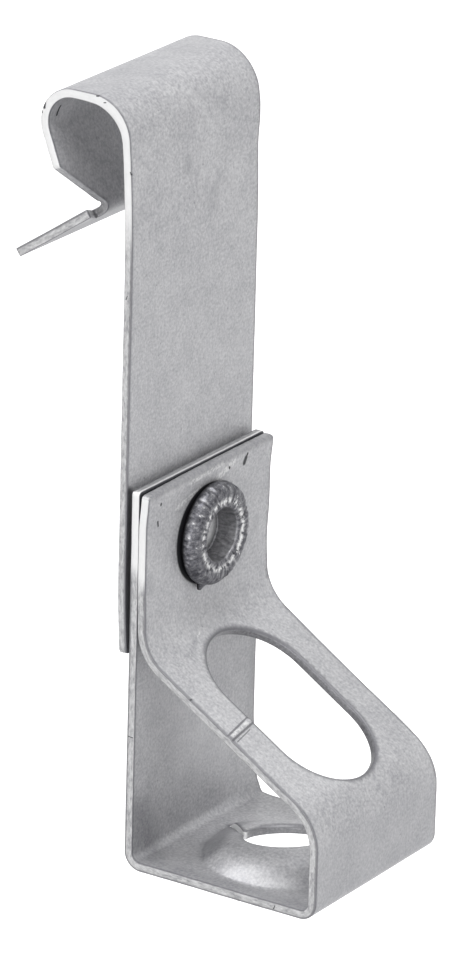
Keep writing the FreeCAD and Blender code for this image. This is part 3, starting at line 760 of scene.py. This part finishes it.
def bar_crease():
    """Rows of points along the bar's edges, its shoulders and its middle."""
    way = BAR_END - BAR_START
    out = Vector((way.y, -way.x)).normalized()
    rows = (-BAR_HALF, BAR_EDGE - BAR_HALF, 0.0, BAR_HALF - BAR_EDGE, BAR_HALF)
    spots = [BAR_START + way * (i / BAR_STEPS) for i in range(BAR_STEPS + 2)]
    return [tuple(spot + out * row) for spot in spots for row in rows]


# The flap: pressed to the back plate by the rivet, sprung open at its top, most at its two corners
FLAP_PRESS, FLAP_PRESS_SPAN = 0.13, (10.5, 15.5)
FLAP_SPRING, NEAR_SPRING, FAR_SPRING, SPRING_REACH = 0.12, 0.15, 0.16, 4.2
FLAP_SLANT, FLAP_ROUND, FLAP_DARK = 0.06, 0.3, 0.5
HEAD_RISE = 0.25


def flap_shift(t, y):
    """How far the flap stands forward, at a distance down from its top."""
    pressed = -FLAP_PRESS * (1 - ease(*FLAP_PRESS_SPAN, t))
    corners = NEAR_SPRING * ease(2.0, HALF_WIDTH, -y) + FAR_SPRING * ease(4.0, HALF_WIDTH, y)
    return pressed + (FLAP_SPRING + corners) * (1 - ease(-HEAD_RISE, SPRING_REACH, t))


def flap_top(y):
    """Flat place of the flap's end, which was cut a little out of square."""
    return flap_place(-FLAP_SLANT - FLAP_SLANT * y / HALF_WIDTH)


def at_flap_top(s, y):
    """1 on the flap's end, which is rounder and darker than the sheared edges."""
    return ease(BRACKET_CORNER, 0.0, flap_top(y) - s)


# Far side: its edge drawn in at three places, its back plate bowed back and its lower corner filled
OVAL_DRAW, OVAL_DRAW_HALF = 0.35, 13.0
FRONT_DRAW, FRONT_DRAW_SPAN = 0.3, (1.5, 5.5)
FLAP_DRAW, FLAP_DRAW_SPAN = 0.36, (13.2, 6.0)
FAR_STEP, FAR_CLEAR = 0.5, 1.25
BACK_BOW, BACK_BOW_EDGE, BACK_BOW_RISE, BACK_BOW_FALL = 0.3, 10.3, (19.0, 22.0), (34.0, 38.0)
CORNER_FILL, CORNER_FILL_START, CORNER_FILL_LENGTH = 0.55, 3.0, 2.2
CORNER_MIDDLE = BACK_END + 0.4 * BOTTOM_BEND


def far_edge(s):
    """The far edge, drawn in beside the oval hole, at the front bend and below the rivet."""
    u = s - slope_place(0.0)
    drawn = OVAL_DRAW * max(0.0, 1 - ((u - OVAL_DRAW_HALF) / OVAL_DRAW_HALF) ** 2)
    drawn += FRONT_DRAW * hump(u, *FRONT_DRAW_SPAN)
    drawn += FLAP_DRAW * hump(BRACKET_END - s, *FLAP_DRAW_SPAN)
    return HALF_WIDTH - drawn


def back_bow(s, y):
    """How far the back plate's far edge is bowed back."""
    along = ease(*BACK_BOW_RISE, s) * (1 - ease(*BACK_BOW_FALL, s))
    return BACK_BOW * ease(BACK_BOW_EDGE, HALF_WIDTH, y) * along


def corner_fill(s, y):
    """How far the lower back corner is filled towards the far side."""
    across = ease(CORNER_FILL_START, HALF_WIDTH, y)
    return CORNER_FILL * across * bell(s - CORNER_MIDDLE, CORNER_FILL_LENGTH)


def bracket_place(s, y, depth):
    on_outer = depth < SHEET / 2
    depth += dent(s, y, BRACKET_END, *BRACKET_DENT)
    if abs(s - HOLE_CENTRE) < COLLAR_REACH:
        depth += collar_lift(s, y)
    if on_outer:
        depth -= bar_rise(s, y)
    x, y, z = bracket_path.place(s, y, depth)
    fill = corner_fill(s, y)
    return (x + flap_shift(BRACKET_END - s, y) - back_bow(s, y) + fill, y, z + fill)


def bracket_outline():
    low, high = BRACKET_CORNER - HALF_WIDTH, HALF_WIDTH - BRACKET_CORNER
    head = BRACKET_CORNER - HEAD_RISE
    outline = arc((head, low), BRACKET_CORNER, 180, 270)
    outline += arc((flap_top(-HALF_WIDTH) - BRACKET_CORNER, low), BRACKET_CORNER, -90, 0)
    outline += arc((flap_top(HALF_WIDTH) - BRACKET_CORNER, high), BRACKET_CORNER, 0, 90)
    for i in range(int((BRACKET_END - 2 * FAR_CLEAR) / FAR_STEP)):
        s = BRACKET_END - FAR_CLEAR - i * FAR_STEP
        outline.append((s, far_edge(s)))
    return outline + arc((head, high), BRACKET_CORNER, 90, 180)


def build_bracket():
    oval_low, oval_high = slope_place(OVAL_LOW + OVAL_RADIUS), slope_place(OVAL_HIGH - OVAL_RADIUS)
    oval = arc((oval_high, 0.0), OVAL_RADIUS, 90, -90) + arc((oval_low, 0.0), OVAL_RADIUS, -90, -270)
    outline = worn(refine(bracket_outline()), BRACKET_WEAR)
    edges = [
        Edge(
            outline,
            first=lambda s, y: FIRST_ROUND + FLAP_ROUND * at_flap_top(s, y),
            shear=lambda s, y: 1.0 - at_flap_top(s, y),
            bore=lambda s, y: FLAP_DARK * at_flap_top(s, y),
        ),
        Edge(refine(oval), first=OVAL_ROUND, shear=0.0, bore=1.0),
        Edge(
            refine(rod_hole_loop()),
            second=rim_round,
            shear=lambda s, y: 1.0 - rim_bore(s, y),
            bore=rim_bore,
        ),
        rivet_hole(BRACKET_HEAD),
        rivet_hole(BRACKET_END - BRACKET_HEAD),
    ]
    return strip_mesh("bracket_strip", edges, bracket_place, collar_crease() + bar_crease())


# Rivet: head, shank and a rolled ring that split and folded as it was clinched
RING_POINTS = 240
SHANK = 3.95
SEAT, MOUTH, HOLE_FLOOR = 3.8, 5.2, 2.95
CREST_RADIUS, CREST_WIDTH = 3.95, 0.28
RING_RADIUS, RING_MIDDLE, RING_SIDE = 5.0, 4.45, 5.2
BURR, BURR_TURN, BURR_WIDTH = 0.85, 3.52, 0.045
# Most that the ring's skin stands out in front and at its side, and its share towards the hole
ROUGH_FRONT, ROUGH_SIDE, ROUGH_BORE = 0.04, 0.02, -0.4
# Pitch round the ring, pitch along the profile and height of its lobes
LOBES = ((5.0, 0.9, 0.07), (17.0, 2.0, 0.05))
# Spans of the place, half width and depth of its splits
CRACKS, CRACK_SEED = 46, 11
CRACK_SPANS = ((0, 2 * pi), (0.02, 0.06), (0.03, 0.11))
# What each point of the rivet carries for its material: its place on the ring, and shares of its zones
RIVET_KEYS = ("turn", "roll", "ring", "crest", "floor", "heel")


def rivet_profile():
    """Distance along the axis and from it, from the head's middle round the ring to the hole's floor."""
    return [
        (-0.9, 0.0), (-0.9, 2.0), (-0.9, 4.0),
        *arc((-0.25, 5.1), 0.65, 180, 90, 0.2),
        (0.0, 5.75), (0.0, SHANK), (SEAT, SHANK),
        *arc((SEAT + 0.45, 5.47), 0.45, 180, 90, 0.12),
        *arc((4.35, 4.6), 1.32, 90, 15, 0.12),
        (5.65, 4.65), (5.63, 4.4), (5.6, 4.17), (5.57, 3.95), (5.53, 3.75),
        *arc((MOUTH, 3.45), 0.38, 30, -90, 0.1),
        (4.7, 3.02), (4.2, 2.95), (3.6, 2.88),
        *arc((HOLE_FLOOR + 0.2, 2.62), 0.2, 90, 180, 0.1),
        (HOLE_FLOOR, 1.7), (HOLE_FLOOR, 0.8), (HOLE_FLOOR, 0.0),
    ]


def rivet_zones(x, r):
    """Shares of the ring, of its crest, of the hole's floor and of the ring's heel."""
    front = ease(0.1, 0.2, x)
    ring = ease(SEAT, SEAT + 0.5, x) * ease(3.05, 3.3, r)
    crest = bell(r - CREST_RADIUS, CREST_WIDTH) * ease(MOUTH, MOUTH + 0.3, x)
    floor = ease(2.5, 2.3, r) * front
    heel = ease(SEAT + 0.7, SEAT + 0.2, x) * front * ease(3.9, 5.0, r)
    return ring, crest, floor, heel


def ring_cracks():
    draws = random.Random(CRACK_SEED)
    return [[draws.uniform(*span) for span in CRACK_SPANS] for _ in range(CRACKS)]


def ring_roughness(turn, run, cracks):
    """How far the ring's skin stands out, by its lobes and splits."""
    way = Vector((cos(turn), sin(turn), 0.0))
    rough = 0.0
    for around, along, height in LOBES:
        rough += noise.noise(way * around + Vector((0, 0, run * along))) * height
    for place, width, depth in cracks:
        gap = abs(turn_between(place, turn))
        if gap < width:
            rough -= depth * (1 - gap / width)
    return rough


def ring_burr(turn, x, r):
    """How far a burr stands out from the ring's outside at one place."""
    if r <= RING_SIDE or x <= SEAT:
        return 0.0
    return BURR * bell(turn - BURR_TURN, BURR_WIDTH) * ease(SEAT + 1.2, SEAT + 0.5, x)


def lathe_faces(rows):
    """Faces between rows of points round an axis; a row of one point closes an end."""
    polygons = []
    for first, second in zip(rows, rows[1:]):
        for k in range(RING_POINTS):
            n = (k + 1) % RING_POINTS
            if len(first) == 1:
                polygons.append((first[0], second[k], second[n]))
            elif len(second) == 1:
                polygons.append((first[k], second[0], first[n]))
            else:
                polygons.append((first[k], second[k], second[n], first[n]))
    return polygons


def build_rivet():
    cracks = ring_cracks()
    profile = rivet_profile()
    points, rows, values = [], [], []
    run = 0.0
    for i, (x, r) in enumerate(profile):
        run += dist((x, r), profile[i - 1]) if i else 0.0
        zones = rivet_zones(x, r)
        row = []
        for k in range(1 if r == 0.0 else RING_POINTS):
            a = 2 * pi * k / RING_POINTS
            rough = ring_roughness(a, run, cracks)
            dx = min(ROUGH_FRONT, rough) * zones[0]
            dr = min(ROUGH_SIDE, rough) * zones[0] * (1.0 if r > RING_MIDDLE else ROUGH_BORE)
            dr += ring_burr(a, x, r)
            row.append(len(points))
            points.append((x + dx, (r + dr) * sin(a), (r + dr) * cos(a) - RIVET_DROP))
            values.append((a * RING_RADIUS, run, *zones))
        rows.append(row)
    return finished_mesh("clinched_rivet", points, lathe_faces(rows), RIVET_KEYS, values)


# Materials
class Shader(Nodes):
    """A material of the object, with its place in mm and the patterns that it is made of."""

    def __init__(self, name):
        self.material = bpy.data.materials.new(name)
        super().__init__(self.material)
        self.surface = self.nodes["Principled BSDF"]
        self.mm = self.scaled(self.node("TexCoord").outputs["Object"], 1 / MM)

    def product(self, first, *others):
        for other in others:
            first = self.math("MULTIPLY", first, other)
        return first

    def weighted(self, *parts):
        """Sum of levels times their weights."""
        total = 0.0
        for level, weight in parts:
            total = self.math("MULTIPLY_ADD", level, weight, total)
        return total

    def attribute(self, name):
        return self.node("Attribute", attribute_name=name).outputs["Fac"]

    def vector(self, x, y, z):
        return self.node("CombineXYZ", x, y, z).outputs["Vector"]

    def vector_math(self, operation, *values):
        made = self.node("VectorMath", *values, operation=operation)
        scalar = operation in ("DOT_PRODUCT", "LENGTH")
        return made.outputs["Value" if scalar else "Vector"]

    def scaled(self, vector, scale):
        made = self.node("VectorMath", vector, operation="SCALE")
        self.feed(made, {"Scale": scale})
        return made.outputs["Vector"]

    def distance(self, first, second):
        return self.vector_math("LENGTH", self.vector_math("SUBTRACT", first, second))

    def stroke(self, flat, start, end, half_width):
        """1 on a line over a flat pair of coordinates, and 0 beyond its half width."""
        first, way = Vector((*start, 0.0)), Vector((*end, 0.0)) - Vector((*start, 0.0))
        off = self.vector_math("SUBTRACT", flat, first)
        t = self.product(self.vector_math("DOT_PRODUCT", off, way), 1 / way.length_squared)
        foot = self.scaled(way, self.math("MINIMUM", self.math("MAXIMUM", t, 0.0), 1.0))
        return self.ramp(self.distance(off, foot), 0.4 * half_width, half_width, 1.0, 0.0)

    def paint(self, base, flat, lines, colour, level, where=None):
        """A base with lines of another colour over it, at a level and within a mask."""
        if not lines:
            return base
        share = 0.0
        for line in lines:
            share = self.math("MAXIMUM", self.stroke(flat, *line), share)
        share = self.product(share, level)
        return self.mix(share if where is None else self.product(share, where), base, colour)

    def noise(self, vector, scale, detail, rough):
        made = self.node("TexNoise")
        self.feed(made, {"Vector": vector, "Scale": scale, "Detail": detail, "Roughness": rough})
        return made.outputs["Fac"]

    def ramp(self, value, low, high, from_level=0.0, to_level=1.0):
        """Smooth change from one level to another over a range."""
        made = self.node("MapRange", interpolation_type="SMOOTHSTEP")
        self.feed(made, {"Value": value, "From Min": low, "From Max": high})
        self.feed(made, {"To Min": from_level, "To Max": to_level})
        return made.outputs["Result"]

    def colours(self, value, stops):
        made = self.node("ValToRGB", value)
        elements = made.color_ramp.elements
        for extra in range(len(stops) - 2):
            elements.new(0.5)
        for element, (position, colour) in zip(elements, stops):
            element.position = position
            element.color = (*colour, 1.0)
        return made.outputs["Color"]

    def mix(self, factor, first, second):
        made = self.node("Mix", factor, data_type="RGBA")
        for value, socket in ((first, made.inputs[6]), (second, made.inputs[7])):
            self.put(value if isinstance(value, bpy.types.NodeSocket) else (*value, 1.0), socket)
        return made.outputs[2]

    def finish(self, colour, roughness, metallic, height, strength, distance):
        """The material with its colour, gloss and bump."""
        bump = self.node("Bump")
        self.feed(bump, {"Height": height, "Strength": strength, "Distance": distance})
        self.feed(self.surface, {"Base Color": colour, "Roughness": roughness, "Metallic": metallic})
        self.feed(self.surface, {"Normal": bump.outputs["Normal"]})
        return self.material


# Marks, painted shades and painted highlights as lines of (start, end, half width): on the faces by
# distances along and across the strip, and for nicks and painted highlights on the near edge by the
# distance along it and the share of the thickness
def lines_at(place, *lines):
    """Lines whose distances along the strip are given from one of its folds or ends."""
    return [((place(s0), y0), (place(s1), y1), half) for (s0, y0), (s1, y1), half in lines]


clip_marks = {
    "scratches": [((71.4, -10.6), (72.4, -10.9), 0.24)],
    "smudges_and_shades": [
        ((48.6, 3.2), (50.0, 3.8), 1.3),
        ((53.6, -1.8), (54.4, -1.4), 1.1),
        # Painted shade over the crown
        ((68.0, -12.0), (68.0, 12.0), 6.5),
        ((69.0, -12.0), (69.0, 4.0), 4.0),
    ],
    # Painted shade on the lip's underside
    "painted_shades": [((89.5, -12.5), (89.5, 12.5), 7.0)],
    # Painted shadow: a dark line in the gap behind the bracket's near edge
    "gap_shadow": [((0.4, -12.3), (18.8, -12.3), 1.3)],
    # Painted highlights along the near edge of the neck and the crown
    "edge_highlights": [((57.0, 0.5), (66.0, 0.5), 12.0), ((64.5, 0.5), (76.0, 0.5), 4.0)],
    "nicks": [
        ((71.15, 0.98), (71.55, 0.8), 0.2),
        ((71.98, 0.97), (72.08, 0.9), 0.1),
        ((63.6, 0.72), (63.8, 0.6), 0.07),
        ((64.5, 0.96), (64.7, 0.9), 0.09),
        ((55.6, 0.98), (55.9, 0.9), 0.08),
        ((41.4, 0.3), (41.8, 0.45), 0.08),
    ],
}
bracket_marks = {
    "scratches": lines_at(
        flap_place,
        ((0.8, 7.35), (1.25, 7.05), 0.22),
        ((1.25, 7.05), (1.75, 6.8), 0.44),
        ((1.55, -9.92), (1.68, -9.9), 0.22),
        ((3.6, -10.25), (4.1, -10.15), 0.19),
        ((1.4, 3.8), (1.5, 3.85), 0.22),
    ),
    "scuffs_and_highlights": lines_at(
        slope_place,
        # Painted highlights on the pressed bar and in short arcs beside the oval hole
        ((13.9, -12.2), (14.45, -8.2), 0.3),
        ((26.5, -2.8), (26.2, -3.6), 0.14),
        ((25.1, -6.2), (24.7, -6.8), 0.14),
    ) + lines_at(
        flap_place,
        ((0.9, -4.0), (0.5, 2.5), 0.35),
        ((2.0, 1.5), (1.0, 4.8), 0.5),
        ((3.1, -6.5), (2.2, -2.0), 0.4),
    ),
    "smudges_and_shades": lines_at(
        flap_place,
        ((10.3, -11.8), (11.2, -11.4), 1.2),
        ((9.4, 9.7), (10.1, 9.7), 0.9),
    ) + lines_at(
        slope_place,
        ((25.9, -4.2), (24.6, -6.9), 0.45),
    ) + [
        # A darker band along the back plate's far edge
        ((20.0, 11.8), (38.0, 11.8), 1.6),
        # Painted shade over the front wall
        ((FRONT_START + 1.0, -9.0), (FRONT_START + 1.0, 9.0), 9.0),
    ],
    # Painted shade on the inner faces: the bottom plate's near strip, the back plate's lower near corner
    # and beside the collar's left flank
    "painted_shades": [
        ((bottom_place(3.0), -12.4), (bottom_place(24.5), -12.4), 3.0),
        ((BACK_END - 2.5, -12.5), (BACK_END + 1.0, -11.0), 5.5),
        ((HOLE_CENTRE - 7.9, 2.2), (HOLE_CENTRE - 7.6, -3.2), 2.2),
        ((HOLE_CENTRE - 7.6, -3.2), (HOLE_CENTRE - 5.9, -5.9), 2.0),
    ],
    # Painted shade: dark lines along the foot of the pressed bar
    "folds": lines_at(
        slope_place,
        ((14.2, -12.4), (14.86, -8.5), 0.18),
        ((13.46, -12.4), (14.1, -7.7), 0.18),
        ((14.86, -8.5), (15.0, -7.7), 0.14),
        ((15.0, -7.7), (14.6, -7.3), 0.14),
        ((13.05, -12.0), (13.6, -8.8), 0.09),
    ),
    # Painted highlight on the slit's wall
    "slit_highlights": [(slit_place(2.3, SLIT_MIDDLE), slit_place(SLIT_REACH, SLIT_MIDDLE), 0.8)],
    # Painted highlights along the near edges at the tops of the back plate and the flap
    "edge_highlights": [((0.5, 0.5), (6.0, 0.5), 4.5)] + lines_at(flap_place, ((1.0, 0.5), (7.5, 0.5), 4.5)),
    "nicks": [
        ((28.78, 0.05), (28.84, 0.8), 0.08),
        ((bottom_place(16.7), 0.0), (bottom_place(17.0), 0.1), 0.14),
        ((bottom_place(21.55), 0.3), (bottom_place(21.7), 0.7), 0.09),
        ((slope_place(20.0), 0.0), (slope_place(20.1), 0.1), 0.12),
    ],
}
# Painted shadow at the foot of the rivet's ring on the flap, and the stretch of the back plate that the
# flap laps, where shade in the gap is painted
RING_SHADOW_CENTRE, RING_SHADOW_RADIUS, RING_SHADOW_EDGE = (flap_place(BRACKET_HEAD), -0.5, 0.0), 6.0, 0.3
LAP_END = 12.0

# Colours of the zinc and its sheared edges by the level of their grain, and of the marks, painted shades
# and painted highlights on them
ZINC = [(0.36, (0.345, 0.345, 0.365)), (0.50, (0.460, 0.460, 0.475)), (0.64, (0.575, 0.575, 0.585))]
SHADED_ZINC = [(0.36, (0.13, 0.13, 0.145)), (0.64, (0.23, 0.23, 0.245))]
SHEARED = [(0.30, (0.23, 0.23, 0.24)), (0.48, (0.37, 0.37, 0.375)), (0.66, (0.50, 0.50, 0.505))]
# Painted shade: the dark colour of the hole walls and of the barbs' blunt ends; the flap's end takes half
# of it
BORE_SHADE = [(0.35, (0.14, 0.14, 0.15)), (0.65, (0.24, 0.24, 0.25))]
PIT, SMUDGE_AND_SHADE = (0.14, 0.14, 0.16), (0.20, 0.20, 0.22)
SCRATCH_AND_SHADOW, DARK_NICK_AND_SHADOW, LAP_SHADE = (0.015, 0.015, 0.018), (0.03, 0.03, 0.035), (0.02, 0.02, 0.025)
CREASE_SHADE, EDGE_LINE_SHADE, TOP_SHADE = (0.09, 0.09, 0.1), (0.10, 0.10, 0.112), (0.14, 0.14, 0.15)
SCUFF_AND_HIGHLIGHT, EDGE_HIGHLIGHT = (0.72, 0.72, 0.72), (0.70, 0.70, 0.70)
TOP_HIGHLIGHT, SLIT_HIGHLIGHT = (0.75, 0.75, 0.75), (0.85, 0.85, 0.85)


class StripShader(Shader):
    """Galvanised strip: its point values, its grain and pits, and masks of its outer face and near edge."""

    def __init__(self, name, outer_is_second):
        super().__init__(name)
        self.cut, self.bore, self.line, self.side, self.along, self.across = map(self.attribute, STRIP_KEYS)
        self.flat = self.vector(self.along, self.across, 0.0)
        self.edge = self.vector(self.along, self.side, 0.0)
        self.outwards = self.side if outer_is_second else self.math("SUBTRACT", 1.0, self.side)
        self.outer = self.ramp(self.outwards, 0.45, 0.55)
        self.near = self.ramp(self.across, 0.15 - HALF_WIDTH, 0.3 - HALF_WIDTH, 1.0, 0.0)
        self.grain = self.noise(self.mm, 3.0, 3.0, 0.6)
        self.pits = self.ramp(self.noise(self.mm, 1.7, 2.0, 0.7), 0.68, 0.76)


def zinc_faces(m, marks):
    """Dull zinc with fine grain and pits, and the marks, painted shades and painted highlights on its
    faces.
    """
    patch, cloud = m.noise(m.mm, 0.8, 2.0, 0.5), m.noise(m.mm, 0.2, 3.0, 0.55)
    tone = m.weighted((m.grain, 0.7), (patch, 0.1), (cloud, 0.2))
    zinc = m.mix(m.product(m.pits, 0.5), m.colours(tone, ZINC), PIT)
    zinc = m.paint(zinc, m.flat, marks["smudges_and_shades"], SMUDGE_AND_SHADE, 0.22)
    inner = m.math("SUBTRACT", 1.0, m.outer)
    # Painted shade on the inner faces, in a darker copy of the zinc
    zinc = m.paint(zinc, m.flat, marks["painted_shades"], m.colours(tone, SHADED_ZINC), 0.5, inner)
    flecks = m.product(m.ramp(m.grain, 0.42, 0.58, 0.1, 0.8), m.outer)
    zinc = m.paint(zinc, m.flat, marks.get("scuffs_and_highlights"), SCUFF_AND_HIGHLIGHT, 1.0, flecks)
    zinc = m.paint(zinc, m.flat, marks["scratches"], SCRATCH_AND_SHADOW, 1.0)
    # Painted shadow in the gap behind the bracket's near edge
    zinc = m.paint(zinc, m.flat, marks.get("gap_shadow"), DARK_NICK_AND_SHADOW, 0.85, m.outer)
    return m.paint(zinc, m.flat, marks.get("folds"), CREASE_SHADE, 0.75)


def sheared_edges(m, marks):
    """Torn pale metal of the sheared edges, with painted shade on the rounded burr at the outer face and
    painted highlights along stretches of the near edge.
    """
    torn = m.vector(m.product(m.along, 1.5), m.product(m.side, 4.0), m.across)
    sheared = m.colours(m.noise(torn, 1.0, 3.0, 0.6), SHEARED)
    # Painted shade on the rounded burr at the outer face
    sheared = m.mix(m.ramp(m.outwards, 0.68, 0.86, 0.0, 0.75), sheared, CREASE_SHADE)
    return m.paint(sheared, m.edge, marks["edge_highlights"], EDGE_HIGHLIGHT, 0.85, m.near)


def lapped_face(m, zinc):
    """Zinc with a painted shadow at the ring's foot on the flap, and painted shade where the flap laps the
    back plate.
    """
    foot = m.ramp(m.distance(m.flat, RING_SHADOW_CENTRE), RING_SHADOW_RADIUS - RING_SHADOW_EDGE, RING_SHADOW_RADIUS, 1.0, 0.0)
    # Painted shadow at the ring's foot
    zinc = m.mix(m.product(foot, m.outer), zinc, SCRATCH_AND_SHADOW)
    # Painted shade in the gap where the flap laps the back plate
    within = m.product(m.ramp(m.side, 0.93, 0.98), m.ramp(m.along, LAP_END - 1.0, LAP_END, 1.0, 0.0))
    return m.mix(within, zinc, LAP_SHADE)


def lapped_top(m, sheared):
    """Sheared edges with painted shade behind on the back plate's top, and a painted highlight in front."""
    dull = m.product(m.ramp(m.along, -0.2, 0.1, 0.35, 0.0), m.ramp(m.across, -11.5, -11.2))
    bright = m.product(m.ramp(m.side, 0.6, 0.82), m.ramp(m.along, -0.2, 0.1, 0.8, 0.0))
    return m.mix(bright, m.mix(dull, sheared, TOP_SHADE), TOP_HIGHLIGHT)


def galvanised(m, zinc, sheared, nicks):
    """Zinc faces with a dark line of painted shade along their edges, sheared edges, bores in painted shade
    and dark nicks.
    """
    colour = m.mix(m.product(m.line, 0.85), zinc, EDGE_LINE_SHADE)
    colour = m.mix(m.cut, colour, sheared)
    colour = m.mix(m.bore, colour, m.colours(m.grain, BORE_SHADE))
    colour = m.paint(colour, m.edge, nicks, DARK_NICK_AND_SHADOW, 1.0, m.near)
    height = m.math("SUBTRACT", m.grain, m.product(m.pits, 0.4))
    roughness = m.ramp(m.grain, 0.3, 0.7, 0.42, 0.56)
    return m.finish(colour, roughness, metallic=0.33, height=height, strength=0.25, distance=0.04 * MM)


def clip_material():
    m = StripShader("galvanised_clip", outer_is_second=True)
    return galvanised(m, zinc_faces(m, clip_marks), sheared_edges(m, clip_marks), clip_marks["nicks"])


def bracket_material():
    m = StripShader("galvanised_bracket", outer_is_second=False)
    zinc = lapped_face(m, zinc_faces(m, bracket_marks))
    sheared = lapped_top(m, sheared_edges(m, bracket_marks))
    # Painted highlight on the slit's wall
    sheared = m.paint(sheared, m.flat, bracket_marks["slit_highlights"], SLIT_HIGHLIGHT, 1.0)
    return galvanised(m, zinc, sheared, bracket_marks["nicks"])


# Colours of the rivet: its plain parts, the ring, flecks on the ring, the hole's floor, painted lighter
# than its shade, and the ring's heel, painted as its shadow
PLAIN_STEEL = [(0.34, (0.10, 0.10, 0.11)), (0.66, (0.30, 0.30, 0.31))]
RING_STEEL = [(0.34, (0.015, 0.015, 0.02)), (0.5, (0.105, 0.105, 0.118)), (0.66, (0.32, 0.32, 0.33))]
LIT_FLOOR_STEEL = [(0.35, (0.80, 0.80, 0.81)), (0.65, (0.92, 0.92, 0.92))]
FLECK, HEEL_SHADOW = (0.75, 0.75, 0.75), (0.012, 0.012, 0.014)


def rivet_material():
    """Rough dark zinc, with bright flecks on the ring's crest, painted light on the floor of its hole and
    painted shadow at the ring's heel.
    """
    m = Shader("rivet_steel")
    turn, roll, ring, crest, floor, heel = map(m.attribute, RIVET_KEYS)
    grain = m.noise(m.mm, 3.0, 4.0, 0.65)
    fibre = m.noise(m.vector(m.product(turn, 1.6), m.product(roll, 0.9), 0.0), 1.0, 3.0, 0.6)
    broad = m.noise(m.mm, 0.7, 2.0, 0.5)
    tone = m.weighted((grain, 0.45), (fibre, 0.55))
    dark = m.mix(ring, m.colours(tone, PLAIN_STEEL), m.colours(tone, RING_STEEL))
    fleck = m.product(m.ramp(fibre, 0.42, 0.56), crest)
    streak = m.product(m.ramp(fibre, 0.60, 0.68), m.ramp(broad, 0.5, 0.6), ring)
    colour = m.mix(m.math("MAXIMUM", fleck, streak), dark, FLECK)
    # Painted light on the hole's floor
    colour = m.mix(floor, colour, m.colours(grain, LIT_FLOOR_STEEL))
    # Painted shadow at the ring's heel
    colour = m.mix(heel, colour, HEEL_SHADOW)
    roughness = m.ramp(grain, 0.3, 0.7, 0.32, 0.55)
    return m.finish(colour, roughness, metallic=0.6, height=tone, strength=0.5, distance=0.08 * MM)


add_camera()
add_world()
add_floor()
for lamp in LAMPS:
    add_lamp(*lamp)

clip = build_clip()
clip.data.materials.append(clip_material())
bracket = build_bracket()
bracket.data.materials.append(bracket_material())
for piece, body, node in ((clip, "clip", "purlin_clip"), (bracket, "bracket", "rod_bracket")):
    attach(piece, body)
    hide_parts(node)
rivet = build_rivet()
rivet.data.materials.append(rivet_material())
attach(rivet, "clip")
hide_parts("rivet")

bpy.context.scene.view_settings.view_transform = "Standard"
